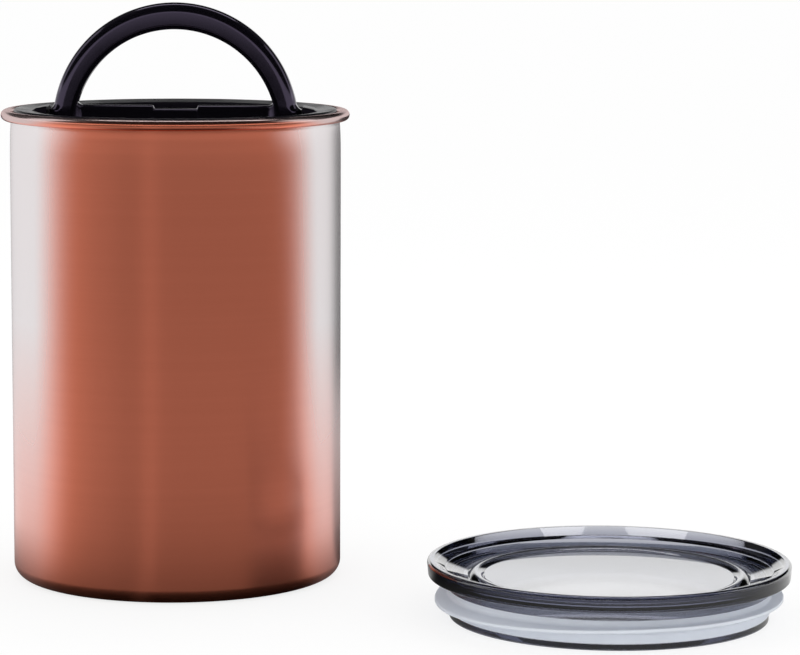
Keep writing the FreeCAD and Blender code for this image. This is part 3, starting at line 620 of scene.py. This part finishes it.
class CANISTER_OT_shell(bpy.types.Operator):
    """Build the steel canister with its rolled rim and raised base"""
    bl_idname = "canister.build_shell"
    bl_label = "Canister shell"

    BASE_BEND = 0.002
    NECK_STEPS = 12

    def execute(self, context):
        sizes = context.scene.canister_shell
        roll = sizes.curl / 2
        bore = sizes.rim_radius - sizes.curl
        wall = bore + sizes.sheet
        middle = (sizes.rim_radius - roll, sizes.rim_height - roll)
        curl_end = -math.degrees(sizes.curl_end)
        foot = wall - sizes.base_corner
        corner = (foot, sizes.base_corner)
        inner = foot - sizes.foot_ring
        slope = inner - sizes.base_slope
        floor = sizes.base_recess + sizes.sheet
        outline = [Vector((0, sizes.base_recess))]
        outline += rounded([
            (slope, sizes.base_recess, self.BASE_BEND), (inner, 0, self.BASE_BEND), (foot, 0)])[:-1]
        outline += arc(corner, sizes.base_corner, -90, 0, steps=16)
        under = sizes.rim_height - sizes.curl
        for part in (step / self.NECK_STEPS for step in range(self.NECK_STEPS + 1)):
            outline.append(Vector((
                wall - sizes.neck * part ** 3, under - sizes.neck_length * (1 - part))))
        outline += arc(middle, roll - sizes.sheet, 180, curl_end, steps=40)
        outline += arc(middle, roll, curl_end, 180, steps=48)
        outline += arc(corner, sizes.base_corner - sizes.sheet, 0, -90, steps=16)
        outline += [Vector((inner, sizes.sheet)), Vector((slope, floor)), Vector((0, floor))]
        shell = turned("canister_body", outline)
        finish_piece(shell, "canister", brushed_copper(sizes), ["canister_shell"])
        shell.data.materials.append(rolled_copper(sizes))
        for face in shell.data.polygons:
            face.material_index = int(face.center.z > under)
        return {"FINISHED"}


class CANISTER_OT_deck(bpy.types.Operator):
    """Build the inner lid's moulded deck with its well, pivot ears and valve cup"""
    bl_idname = "canister.build_deck"
    bl_label = "Inner lid deck"

    WALL = 0.0018
    GUIDE_BORE, GUIDE_RADIUS = 0.00155, 0.0032
    SEAT_HALF, SEAT_RISE = 0.00075, 0.0008
    FLANGE_EDGE, WELL_FILLET = 0.001, 0.0015
    # How far from its face an ear's top starts to fall, crosses the flange's level and ends inside it
    EAR_FALL = (0.0006, 0.004, 0.0074)
    PIN_HOLE = 0.00152
    PORTS, PORT_RADIUS, PORT_CIRCLE = 6, 0.0011, 0.0068

    def ear(self, sizes, side, well, floor, brim, top):
        """One pivot ear, which stands in the well against its wall."""
        face = well - sizes.ear_reach
        back = well + sizes.well_wall / 2
        falls, crosses, ends = (face + along for along in self.EAR_FALL)
        section = rounded([
            (face, floor - OVERRUN), (back, floor - OVERRUN), (back, brim - OVERRUN),
            (ends, brim - OVERRUN), (crosses, top, FULL), (falls, DECK_HIGH.z, EASED),
            (face, DECK_HIGH.z, SOFT)])
        ear = drawn_out(f"ear_{side}", section, -sizes.ear_width / 2, sizes.ear_width / 2, MILD)
        ear.data.transform(Matrix(((side, 0, 0, 0), (0, 0, 1, 0), (0, 1, 0, 0), (0, 0, 0, 1))))
        build = bmesh.new()
        build.from_mesh(ear.data)
        bmesh.ops.recalc_face_normals(build, faces=build.faces)
        build.to_mesh(ear.data)
        build.free()
        return ear

    def execute(self, context):
        sizes = context.scene.canister_inner_lid
        top = DECK_HIGH.z - sizes.ear_rise
        flange = DECK_HIGH.x
        well = flange - sizes.flange_width
        outside = well + sizes.well_wall
        brim = top - sizes.flange_dish
        floor = top - sizes.well_depth
        under = floor - sizes.floor_thick
        skirt = under - sizes.skirt_depth
        hem = top - sizes.flange_lip
        lip = flange - self.WALL
        cup = sizes.cup_radius
        cup_floor = floor - sizes.cup_depth
        cup_under = cup_floor - self.WALL
        seat_inner, seat_outer = sizes.seat_radius - self.SEAT_HALF, sizes.seat_radius + self.SEAT_HALF
        seat_top = cup_floor + self.SEAT_RISE
        outline = rounded([
            (self.GUIDE_BORE, DECK_LOW.z), (self.GUIDE_RADIUS, DECK_LOW.z, FINE),
            (self.GUIDE_RADIUS, cup_under, EASED), (cup + self.WALL, cup_under, MILD),
            (cup + self.WALL, under, EASED), (well, under), (well, skirt), (outside, skirt, FINE),
            (outside, brim - sizes.flange_thick, EASED), (lip, top - sizes.flange_thick, FINE),
            (lip, hem, EASED), (flange, hem, EASED), (flange, top, self.FLANGE_EDGE), (well, brim, FULL),
            (well, floor, self.WELL_FILLET), (cup, floor, SOFT), (cup, cup_floor, MILD),
            (seat_outer, cup_floor), (seat_outer, seat_top, FINE), (seat_inner, seat_top, FINE),
            (seat_inner, cup_floor), (self.GUIDE_BORE, cup_floor)])
        deck = turned("inner_lid_deck", outline)
        combine(deck, [self.ear(sizes, side, well, floor, brim, top) for side in (-1, 1)], "UNION")
        past = outside + OVERRUN
        holes = [turned_along_x("pin_hole", rod(self.PIN_HOLE, -past, past))]
        port = rod(self.PORT_RADIUS, cup_under - OVERRUN, cup_floor + OVERRUN)
        for step in range(self.PORTS):
            turn = math.tau * step / self.PORTS
            place = (self.PORT_CIRCLE * math.cos(turn), self.PORT_CIRCLE * math.sin(turn))
            holes.append(turned(f"port_{step}", port, place, ROD_AROUND))
        combine(deck, holes, "DIFFERENCE")
        material = moulded_plastic(
            "satin_black", sizes.black, roughness=0.3, grain=2600, bump=0.05, gloss=0.22)
        finish_piece(deck, "plunger", material, ["plunger_deck"])
        return {"FINISHED"}


class CANISTER_OT_underside(bpy.types.Operator):
    """Build the inner lid's lower plate and the wiper seal round it"""
    bl_idname = "canister.build_underside"
    bl_label = "Inner lid underside"

    PLATE_EDGE = 0.001
    SPIGOT_WALL = 0.0018
    SLOTS = 12
    SEAL_HEIGHT = 0.005
    LIP_LENGTH, LIP_THICK = 0.0031, 0.0013
    WAIST_DEPTH, WAIST_HALF = 0.0024, 0.0009

    def execute(self, context):
        sizes = context.scene.canister_inner_lid
        radius = PLATE_HIGH.x
        top = PLATE_LOW.z + sizes.plate_thick
        spigot = DECK_HIGH.x - sizes.flange_width - PLAY
        hollow = spigot - self.SPIGOT_WALL
        plate = turned("inner_lid_plate", [Vector((0, PLATE_LOW.z))] + rounded([
            (radius, PLATE_LOW.z, self.PLATE_EDGE), (radius, top, FINE), (spigot, top),
            (spigot, PLATE_HIGH.z, EASED), (hollow, PLATE_HIGH.z, EASED), (hollow, top, SOFT)])
            + [Vector((0, top))])
        half = sizes.slot_width / 2
        ends = arc((sizes.slot_outer, 0), half, -90, 90, steps=12)
        ends += arc((sizes.slot_inner, 0), half, 90, 270, steps=12)
        slots = []
        for step in range(self.SLOTS):
            slot = drawn_out(f"slot_{step}", ends, PLATE_LOW.z - OVERRUN, top + OVERRUN)
            slot.data.transform(Matrix.Rotation(math.tau * step / self.SLOTS, 4, "Z"))
            slots.append(slot)
        combine(plate, slots, "DIFFERENCE")
        black = moulded_plastic(
            "underside_black", sizes.black, roughness=0.42, grain=2600, bump=0.1, gloss=0.4)
        finish_piece(plate, "plunger", black, ["plunger_underplate"])
        high = top + self.SEAL_HEIGHT
        middle = (top + high) / 2
        lip = SEAL_HIGH.x
        root = lip - self.LIP_LENGTH
        waist = lip - self.WAIST_DEPTH
        inner = spigot + PLAY
        seal = turned("wiper_ring", rounded([
            (inner, top), (root, top, EASED), (lip, SEAL_LOW.z, EASED),
            (lip, SEAL_LOW.z + self.LIP_THICK, FINE), (waist, middle - self.WAIST_HALF, SOFT),
            (waist, middle + self.WAIST_HALF, SOFT), (lip, SEAL_HIGH.z - self.LIP_THICK, FINE),
            (lip, SEAL_HIGH.z, EASED), (root, high, EASED), (inner, high)]))
        finish_piece(seal, "plunger", black_silicone(sizes.rubber), ["wiper_seal"])
        return {"FINISHED"}


class CANISTER_OT_handle(bpy.types.Operator):
    """Build the folding handle: arch, pivot feet, cross bar and cam"""
    bl_idname = "canister.build_handle"
    bl_label = "Handle"

    # How far the pivot feet and the swelling ends of the cross bar stay inside the arch's faces
    FOOT_INSIDE, BAR_INSIDE = 0.00002, 0.00006
    # Length of the notch's ramps, and of the stretch round each that gets closer sections
    NOTCH_RAMP, NOTCH_STRETCH = 0.0008, 0.0012
    PIN_BORE, PIN_END_GAP = 0.00155, 0.0004
    FOOT_AROUND, CAM_AROUND = 72, 64

    def arch(self, sizes):
        """The arch, as sections between its outer and its grip line."""
        grip = sizes.arch_radius - sizes.arch_width
        outer = self.outer_line(sizes)
        start = math.asin(sizes.grip_drop / grip)
        spans = [0.0]
        for first, second in zip(outer, outer[1:]):
            spans.append(spans[-1] + (second - first).length)
        rows = []
        build = bmesh.new()
        for point, span in zip(outer, spans):
            turn = start + (QUARTER - start) * span / spans[-1]
            inner = Vector((grip * math.cos(turn), PIVOT - sizes.grip_drop + grip * math.sin(turn)))
            rows.append((inner, point))
        mirrored = [(Vector((-i.x, i.y)), Vector((-o.x, o.y))) for i, o in reversed(rows[:-1])]
        rings = []
        for inner, point in rows + mirrored:
            way = point - inner
            ring = []
            for along, side in self.section(sizes, way.length):
                place = inner + way.normalized() * along
                ring.append(build.verts.new((place.x, side, place.y)))
            rings.append(ring)
        return capped("handle_arch", build, rings)

    def outer_line(self, sizes):
        """Points of the arch's outer line from the foot, through a hollow, to the crown."""
        reach = HANDLE_HIGH.x
        level = PIVOT - sizes.arch_drop
        first = math.asin((sizes.flare_rise + sizes.arch_drop) / sizes.arch_radius)
        away = sizes.arch_radius + sizes.flare_radius
        middle = Vector((away * math.cos(first), level + away * math.sin(first)))
        drop = math.degrees(math.acos((middle.x - reach) / sizes.flare_radius))
        collar = middle.y - sizes.flare_radius * math.sin(math.radians(drop))
        line = [Vector((reach, PIVOT + (collar - PIVOT) * step / 8)) for step in range(8)]
        line += arc(middle, sizes.flare_radius, 180 + drop, 180 + math.degrees(first), steps=14)[:-1]
        line += arc((0, level), sizes.arch_radius, math.degrees(first), 90, steps=100)
        return line

    def section(self, sizes, width):
        """The arch's section from its grip line outwards, as (distance, side) points."""
        half = sizes.thick / 2
        low, high = sizes.inner_round, width - sizes.outer_round
        front = [(low * (1 - math.cos(a)), -half + low * (1 - math.sin(a)))
                 for a in (QUARTER * step / 10 for step in range(11))]
        front += [(high + sizes.outer_round * math.cos(a), -half + sizes.outer_round * (1 - math.sin(a)))
                  for a in (QUARTER * (1 - step / 14) for step in range(15))]
        return front + [(along, -side) for along, side in reversed(front)]

    def bar(self, sizes):
        """The cross bar, whose top runs down into the notch and up into the webs."""
        grip = sizes.arch_radius - sizes.arch_width
        inside = math.sqrt(grip ** 2 - (sizes.bar_rise + sizes.grip_drop) ** 2)
        end = HANDLE_HIGH.x - sizes.foot_length / 2
        places = [end * step / 90 for step in range(91)]
        places += [sizes.notch_width / 2 + self.NOTCH_STRETCH * (step / 10 - 0.5) for step in range(11)]
        for hollow in (sizes.web, sizes.cheek):
            places += [inside - hollow + hollow * step / 10 for step in range(13)]
        places = sorted({round(place, 7) for place in places})
        sections = [(place, self.bar_top(sizes, place, inside), place < sizes.cam_half) for place in places]
        beside_cam = self.bar_top(sizes, sizes.cam_half, inside)
        sections += [(sizes.cam_half, beside_cam, flat) for flat in (True, False)]
        sections.sort(key=lambda section: (section[0], not section[2]))
        sections = [(-place, top, flat) for place, top, flat in reversed(sections[1:])] + sections
        build = bmesh.new()
        rings = []
        relief = PIVOT + sizes.cam_offset
        edge = sizes.bar_round
        turns = [math.pi * step / 16 for step in range(17)]
        for place, top, flat in sections:
            half = self.bar_half(sizes, abs(place), inside)
            low = [(half * math.cos(a), relief if flat else PIVOT - half * math.sin(a)) for a in turns]
            half -= sizes.bar_taper
            high = [(edge - half - edge * math.cos(a), top - edge + edge * math.sin(a))
                    for a in (QUARTER * step / 6 for step in range(7))]
            ring = low + high + [(-side, level) for side, level in reversed(high)]
            rings.append([build.verts.new((place, side, level)) for side, level in ring])
        return capped("handle_bar", build, rings)

    def bar_half(self, sizes, place, inside):
        """Half the cross bar's thickness, which swells smoothly to the arch's faces."""
        over = min(max((place - inside) / sizes.cheek + 1, 0), 1)
        low, high = sizes.bar_thick / 2, sizes.thick / 2 - self.BAR_INSIDE
        return low + (high - low) * over * over * (3 - 2 * over)

    def bar_top(self, sizes, place, inside):
        """Height of the cross bar's top at a distance from its middle."""
        top = PIVOT + sizes.bar_rise
        step = min(max((place - sizes.notch_width / 2) / self.NOTCH_RAMP + 0.5, 0), 1)
        top -= sizes.notch_depth * (1 - step * step * (3 - 2 * step))
        over = min(max(place - (inside - sizes.web), 0), sizes.web)
        return top + sizes.web - math.sqrt(sizes.web ** 2 - over ** 2)

    def execute(self, context):
        sizes = context.scene.canister_handle
        handle = self.arch(sizes)
        handle.name = "folding_handle"
        half = sizes.thick / 2 - self.FOOT_INSIDE
        root = HANDLE_HIGH.x - sizes.foot_length
        joins = [self.bar(sizes)]
        for side in (-1, 1):
            ends = sorted((side * root, side * HANDLE_HIGH.x))
            joins.append(turned_along_x(f"foot_{side}", rod(half, *ends, SOFT), self.FOOT_AROUND))
        joins.append(turned_along_x(
            "cam", rod(sizes.cam_radius, -sizes.cam_half, sizes.cam_half, FINE), self.CAM_AROUND,
            (0, sizes.cam_offset, PIVOT + sizes.cam_offset)))
        combine(handle, joins, "UNION")
        bores = []
        for side in (-1, 1):
            ends = sorted((side * (PIN_LOW.x - self.PIN_END_GAP), side * (HANDLE_HIGH.x + OVERRUN)))
            bores.append(turned_along_x(f"bore_{side}", rod(self.PIN_BORE, *ends)))
        combine(handle, bores, "DIFFERENCE")
        material = moulded_plastic(
            "half_gloss_black", sizes.black, roughness=0.1, grain=2200, bump=0.015, gloss=0.84)
        finish_piece(handle, "handle", material, ["handle"])
        return {"FINISHED"}


class CANISTER_OT_valve(bpy.types.Operator):
    """Build the valve's poppet, washer, clip and spring, and the handle's pins"""
    bl_idname = "canister.build_valve"
    bl_label = "Valve and pins"

    WIRE = 0.0003
    STEM, GROOVE, BUTTON = 0.0015, 0.0011, 0.004
    DISC_THICK = 0.0012
    WASHER_BORE = 0.008
    CLIP_BORE, CLIP_MOUTH, CLIP_EDGE = 0.00115, 0.00085, 0.0001
    VALVE_AROUND, PIN_AROUND = 128, 48

    def spring(self, turns=3, steps=56, around=12):
        """One tube along a helix."""
        wire = self.WIRE
        radius = SPRING_HIGH.x - wire
        low, high = SPRING_LOW.z + wire, SPRING_HIGH.z - wire
        build = bmesh.new()
        rings = []
        for step in range(turns * steps + 1):
            turn = math.tau * step / steps
            out = Vector((math.cos(turn), math.sin(turn), 0))
            middle = out * radius + Vector((0, 0, low + (high - low) * step / (turns * steps)))
            rings.append([build.verts.new(
                middle + out * (wire * math.cos(math.tau * at / around))
                + Vector((0, 0, wire * math.sin(math.tau * at / around)))) for at in range(around)])
        return capped("valve_coil", build, rings)

    def execute(self, context):
        sizes = context.scene.canister_inner_lid
        steel = bright_steel(sizes.steel)
        disc = WASHER_HIGH.z
        top = disc + self.DISC_THICK
        poppet = turned("valve_button", [Vector((0, POPPET_LOW.z))] + rounded([
            (self.STEM, POPPET_LOW.z, EASED), (self.STEM, CLIP_LOW.z), (self.GROOVE, CLIP_LOW.z),
            (self.GROOVE, CLIP_HIGH.z), (self.STEM, CLIP_HIGH.z), (self.STEM, disc, FINE),
            (POPPET_HIGH.x, disc, FINE), (POPPET_HIGH.x, top, EASED), (self.BUTTON, top, SOFT),
            (self.BUTTON, POPPET_HIGH.z, MILD)]) + [Vector((0, POPPET_HIGH.z))], around=self.VALVE_AROUND)
        grey = moulded_plastic(
            "valve_grey", sizes.grey, roughness=0.38, grain=2600, bump=0.08, gloss=0.4)
        finish_piece(poppet, "valve", grey, ["valve_poppet"])
        washer = turned("valve_ring", rounded([
            (self.WASHER_BORE, WASHER_LOW.z, FINE), (WASHER_HIGH.x, WASHER_LOW.z, FINE),
            (WASHER_HIGH.x, disc, CRISP), (self.WASHER_BORE, disc, CRISP)]), around=self.VALVE_AROUND)
        finish_piece(washer, "valve", black_silicone(sizes.rubber), ["valve_washer"])
        mouth = math.degrees(math.asin(self.CLIP_MOUTH / CLIP_HIGH.y))
        throat = math.degrees(math.asin(self.CLIP_MOUTH / self.CLIP_BORE))
        outline = arc((0, 0), CLIP_HIGH.y, mouth, 360 - mouth, steps=64)
        outline += arc((0, 0), self.CLIP_BORE, 360 - throat, throat, steps=48)
        clip = drawn_out("valve_stem_clip", outline, CLIP_LOW.z, CLIP_HIGH.z, self.CLIP_EDGE, steps=2)
        finish_piece(clip, "valve", steel, ["valve_clip"])
        coil = self.spring()
        finish_piece(coil, "plunger", steel, ["valve_spring"])
        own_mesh(coil)
        for side, node in ((-1, "pivot_pin_left"), (1, "pivot_pin_right")):
            ends = sorted((side * PIN_LOW.x, side * PIN_HIGH.x))
            pin = turned_along_x(f"handle_{node}", rod(PIN_HIGH.y, *ends, FINE), self.PIN_AROUND)
            finish_piece(pin, "plunger", steel, [node])
        return {"FINISHED"}


class CANISTER_OT_lid(bpy.types.Operator):
    """Build the clear outer lid and the finned gasket round its plug"""
    bl_idname = "canister.build_lid"
    bl_label = "Outer lid and gasket"

    PANEL_BEND, SKIRT_BEND = 0.002, 0.0012
    CREST_INNER, SHOULDER_ROUND = 0.0009, 0.0014
    FOOT_FLAT = 0.0006
    SAG_TURN = 0.35

    def sagged(self, sizes, root, tip, turn, radius, height):
        """Lets the soft fin hang lower on the left, more towards its tip."""
        left = max(-math.cos(turn - self.SAG_TURN), 0) ** 2
        return radius, height - sizes.fin_sag * left * max((radius - root) / (tip - root), 0)

    def lid(self, sizes):
        """The lid's outline, from under its panel, round its foot and rim, to the panel's top."""
        inner = sizes.plug_radius - sizes.plug_wall
        under = sizes.panel_height - sizes.wall
        outline = [Vector((0, under))] + rounded([
            (sizes.ring_outer, under, self.PANEL_BEND), (inner, sizes.skirt_height, self.SKIRT_BEND),
            (inner, sizes.foot_bevel, FINE), (sizes.foot_radius - self.FOOT_FLAT, 0, FINE),
            (sizes.foot_radius, 0, FINE), (sizes.foot_radius, sizes.foot_height, EASED),
            (sizes.plug_radius, sizes.foot_height, CRISP), (sizes.plug_radius, sizes.neck_height, CRISP),
            (sizes.neck_low, sizes.neck_height, FINE), (sizes.neck_high, sizes.skirt_height, SOFT),
            (sizes.rim_radius - sizes.rim_taper, sizes.skirt_height, SOFT),
            (sizes.rim_radius, sizes.crest, sizes.crest_round),
            (sizes.rim_radius - sizes.crest_width, sizes.crest, self.CREST_INNER),
            (sizes.shoulder_radius, sizes.shoulder_height, self.SHOULDER_ROUND),
            (sizes.ring_outer, sizes.panel_height)])[:-1]
        ring_middle = (sizes.ring_inner + sizes.ring_outer) / 2
        ring_half = (sizes.ring_outer - sizes.ring_inner) / 2
        ring_round = (ring_half ** 2 + sizes.ring_rise ** 2) / (2 * sizes.ring_rise)
        ring_low = sizes.panel_height + sizes.ring_rise - ring_round
        spread = math.degrees(math.asin(ring_half / ring_round))
        outline += arc((ring_middle, ring_low), ring_round, 90 - spread, 90 + spread, steps=24)
        return outline + [Vector((0, sizes.panel_height))]

    def execute(self, context):
        sizes = context.scene.canister_lid
        lid = turned("clear_lid", self.lid(sizes), LID_MIDDLE, LID_AROUND)
        finish_piece(lid, "outer_lid", smoke_plastic(sizes), ["outer_lid"])
        inner = sizes.plug_radius + PLAY
        outer = sizes.plug_radius + sizes.gasket_wall
        fin = GASKET_HIGH.x - LID_MIDDLE[0]
        outline = rounded([
            (inner, sizes.foot_height, CRISP), (outer, sizes.foot_height, FINE), (outer, sizes.fin_low, FULL),
            (fin, sizes.fin_tip, EASED), (fin, sizes.fin_tip + sizes.fin_thick, EASED),
            (outer, sizes.fin_low + sizes.fin_root, FULL), (outer, sizes.neck_height, FINE),
            (inner, sizes.neck_height, CRISP)])
        bend = partial(self.sagged, sizes, outer, fin)
        gasket = turned("finned_gasket", outline, LID_MIDDLE, LID_AROUND, bend)
        finish_piece(gasket, "outer_lid", frosted_silicone(sizes), ["lid_gasket"])
        return {"FINISHED"}


class CANISTER_OT_stage(bpy.types.Operator):
    """Build the floor, the light and the camera"""
    bl_idname = "canister.build_stage"
    bl_label = "Stage"

    # How white the room is by its angle from the front, from left behind round to right behind
    ROOM = (
        (-180, 0.4), (-172, 0.0), (-161, 0.0), (-154, 1.0), (-96, 1.0), (-91, 0.88), (-84, 0.66),
        (-75, 0.4), (-64, 0.24), (-50, 0.12), (-28, 0.0), (-22, 0.0), (-14, 0.2), (-5, 0.0), (72, 0.0),
        (82, 0.03), (91, 0.2), (98, 0.55), (104, 0.9), (108, 1.0), (142, 1.0), (147, 0.0), (174, 0.0),
        (178, 0.4), (180, 0.4))
    # How steeply a ray climbs where the room's front and its ceiling go dim, and how dim the front gets
    FRONT_FADE, CEILING_FADE, FRONT_DIM = (0.2, 0.26), (0.22, 0.27), 0.05
    # Distances over which the floor in gloss leaves the foot's shade, rises, falls, and rises far off
    FOOT_SHADE, NEAR_RISE, NEAR_FALL, FAR_RISE = (0.05, 0.15), (0.03, 0.3), (0.35, 0.65), (4.2, 8.0)
    NEAR_LEVEL, NEAR_LEFT = 0.46, 0.1
    FLOOR_REACH, FLOOR_DROP = 14.0, 0.0001
    WALL_RADIUS = 0.0605
    # Name, place, aim and size of each soft lamp
    LAMPS = (
        ("top", (0.05, 0.3, 1.1), (0.05, 0, 0.1), (0.9, 0.2)),
        ("left", (-0.95, 0.15, 0.7), (0, 0, 0.15), (0.5, 0.7)),
        ("right", (1.1, 0.15, 0.7), (0.1, 0, 0.15), (0.5, 0.7)))

    def room(self, nodes, way, front, fan=None):
        """How bright the room looks in gloss. A fan spreads the floor's bands from the body's wall."""
        split = nodes.add("ShaderNodeSeparateXYZ", {0: way})
        ahead = nodes.reckon(split.outputs["Y"], -1.0, "MULTIPLY")
        turn = nodes.reckon(split.outputs["X"], ahead, "ARCTAN2")
        if fan:
            side = nodes.reckon(nodes.reckon(turn, 0.5, "MULTIPLY"), 0.0, "SINE")
            side = nodes.reckon(nodes.reckon(side, fan, "MULTIPLY"), 0.0, "ARCSINE")
            turn = nodes.reckon(turn, side, "ADD")
        turn = nodes.between(turn, 0.0, 1.0, -math.pi, math.pi)
        ramp = nodes.add("ShaderNodeValToRGB", {0: turn})
        ramp.color_ramp.interpolation = "EASE"
        stops = ramp.color_ramp.elements
        while len(stops) < len(self.ROOM):
            stops.new(0.5)
        for stop, (degrees, level) in zip(stops, self.ROOM):
            stop.position = degrees / 360 + 0.5
            stop.color = (level, level, level, 1)
        white = nodes.add("ShaderNodeSeparateColor", {0: ramp.outputs["Color"]}).outputs[0]
        return nodes.add("ShaderNodeMix", {0: white, 2: front, 3: 1.0}).outputs[0]

    def seen(self, nodes):
        """Which rays see the room: the camera's, those of gloss and those through clear pieces."""
        path = nodes.add("ShaderNodeLightPath")
        return [path.outputs[f"Is {kind} Ray"] for kind in ("Camera", "Glossy", "Transmission")]

    def world(self, context, sizes):
        """White to the camera and dim overhead in gloss."""
        nodes = Nodes(bpy.data.worlds.new("studio"), "ShaderNodeOutputWorld")
        way = nodes.add("ShaderNodeTexCoord").outputs["Generated"]
        high = nodes.add("ShaderNodeSeparateXYZ", {0: way}).outputs["Z"]
        front = nodes.between(high, sizes.front, self.FRONT_DIM, *self.FRONT_FADE, "SMOOTHSTEP")
        ceiling = nodes.between(high, 1.0, sizes.overhead, *self.CEILING_FADE, "SMOOTHSTEP")
        level = nodes.reckon(self.room(nodes, way, front), ceiling, "MULTIPLY")
        camera, gloss, clear = self.seen(nodes)
        shown = nodes.reckon(gloss, clear, "MAXIMUM")
        level = nodes.add("ShaderNodeMix", {0: shown, 2: sizes.ambient, 3: level}).outputs[0]
        level = nodes.reckon(level, camera, "MAXIMUM")
        light = nodes.add("ShaderNodeBackground", {"Color": (1, 1, 1, 1), "Strength": level})
        context.scene.world = nodes.show(light)

    def floor(self, sizes):
        """A white floor that shows soft shadows, and in gloss is dim towards the front."""
        build = bmesh.new()
        build.faces.new([
            build.verts.new((x * self.FLOOR_REACH, y * self.FLOOR_REACH, -self.FLOOR_DROP))
            for x, y in ((-1, -1), (1, -1), (1, 1), (-1, 1))])
        floor = new_object("floor", build)
        finish = new_finish("pale_floor")
        matt = finish.add("ShaderNodeBsdfDiffuse", {"Color": (0.95, 0.95, 0.95, 1)})
        place = finish.add("ShaderNodeTexCoord").outputs["Object"]
        far = finish.add("ShaderNodeVectorMath", {0: place}, operation="LENGTH").outputs["Value"]
        near = finish.reckon(
            finish.between(far, 0.0, self.NEAR_LEVEL, *self.NEAR_RISE),
            finish.between(far, 1.0, self.NEAR_LEFT, *self.NEAR_FALL, "SMOOTHSTEP"), "MULTIPLY")
        front = finish.reckon(
            near, finish.between(far, 0.0, sizes.front, *self.FAR_RISE, "SMOOTHSTEP"), "ADD")
        camera, gloss, clear = self.seen(finish)
        direct = finish.reckon(camera, clear, "MAXIMUM")
        fan = finish.reckon(self.WALL_RADIUS, far, "DIVIDE")
        foot = finish.between(far, 0.0, 1.0, *self.FOOT_SHADE)
        white = finish.reckon(self.room(finish, place, front, fan), foot, "MULTIPLY")
        white = finish.reckon(white, direct, "MAXIMUM")
        glow = finish.add("ShaderNodeEmission", {"Color": (1, 1, 1, 1), "Strength": white})
        lit = finish.reckon(direct, 1 - sizes.shadow, "MULTIPLY")
        floor.data.materials.append(finish.layers(finish.reckon(lit, gloss, "MAXIMUM"), matt, glow))

    def lamp(self, context, name, place, aim, size, watts):
        """A soft rectangular lamp."""
        light = bpy.data.lights.new(name, "AREA")
        light.shape = "RECTANGLE"
        light.size, light.size_y = size
        light.energy = watts
        lamp = bpy.data.objects.new(name, light)
        lamp.location = place
        lamp.rotation_euler = (Vector(aim) - Vector(place)).to_track_quat("-Z", "Y").to_euler()
        context.scene.collection.objects.link(lamp)

    def camera(self, context, sizes):
        """The camera at the photograph's place and angle."""
        ahead = Vector((math.sin(sizes.yaw), math.cos(sizes.yaw), 0))
        right = Vector((math.cos(sizes.yaw), -math.sin(sizes.yaw), 0))
        up = ahead * math.sin(sizes.pitch) + Vector((0, 0, math.cos(sizes.pitch)))
        look = ahead * math.cos(sizes.pitch) - Vector((0, 0, math.sin(sizes.pitch)))
        across = right * math.cos(sizes.roll) + up * math.sin(sizes.roll)
        upright = up * math.cos(sizes.roll) - right * math.sin(sizes.roll)
        data = bpy.data.cameras.new("camera")
        data.lens = sizes.focal
        data.sensor_width = 36.0
        data.clip_end = 60.0
        camera = bpy.data.objects.new("camera", data)
        turn = Matrix((across, upright, -look)).transposed().to_4x4()
        camera.matrix_world = Matrix.Translation(sizes.eye) @ turn
        context.scene.collection.objects.link(camera)
        context.scene.camera = camera

    def execute(self, context):
        sizes = context.scene.canister_stage
        context.scene.view_settings.view_transform = "Standard"
        self.world(context, sizes)
        self.floor(sizes)
        for lamp, watts in zip(self.LAMPS, (sizes.top, sizes.side, sizes.side)):
            self.lamp(context, *lamp, watts)
        self.camera(context, sizes)
        return {"FINISHED"}


class CANISTER_PT_pieces(bpy.types.Panel):
    """Lists the operators that build the canister"""
    bl_label = "Coffee canister"
    bl_idname = "CANISTER_PT_pieces"
    bl_space_type = "VIEW_3D"
    bl_region_type = "UI"
    bl_category = "Canister"

    def draw(self, context):
        for operator in OPERATORS:
            self.layout.operator(operator.bl_idname)


GROUPS = {
    "canister_shell": ShellSizes,
    "canister_inner_lid": InnerLidSizes,
    "canister_handle": HandleSizes,
    "canister_lid": LidSizes,
    "canister_stage": StageSettings,
}
OPERATORS = (
    CANISTER_OT_shell, CANISTER_OT_deck, CANISTER_OT_underside, CANISTER_OT_handle, CANISTER_OT_valve,
    CANISTER_OT_lid, CANISTER_OT_stage)


def register():
    """Registers the sizes, operators and panel."""
    for group in (*GROUPS.values(), *OPERATORS, CANISTER_PT_pieces):
        bpy.utils.register_class(group)
    for name, group in GROUPS.items():
        setattr(bpy.types.Scene, name, bpy.props.PointerProperty(type=group))


def unregister():
    """Takes them out again."""
    for name in GROUPS:
        delattr(bpy.types.Scene, name)
    for group in (CANISTER_PT_pieces, *reversed(OPERATORS), *reversed(GROUPS.values())):
        bpy.utils.unregister_class(group)


def main():
    """Builds every piece and the stage."""
    register()
    bpy.ops.canister.build_shell()
    bpy.ops.canister.build_deck()
    bpy.ops.canister.build_underside()
    bpy.ops.canister.build_handle()
    bpy.ops.canister.build_valve()
    bpy.ops.canister.build_lid()
    bpy.ops.canister.build_stage()


if __name__ == "__main__":
    main()
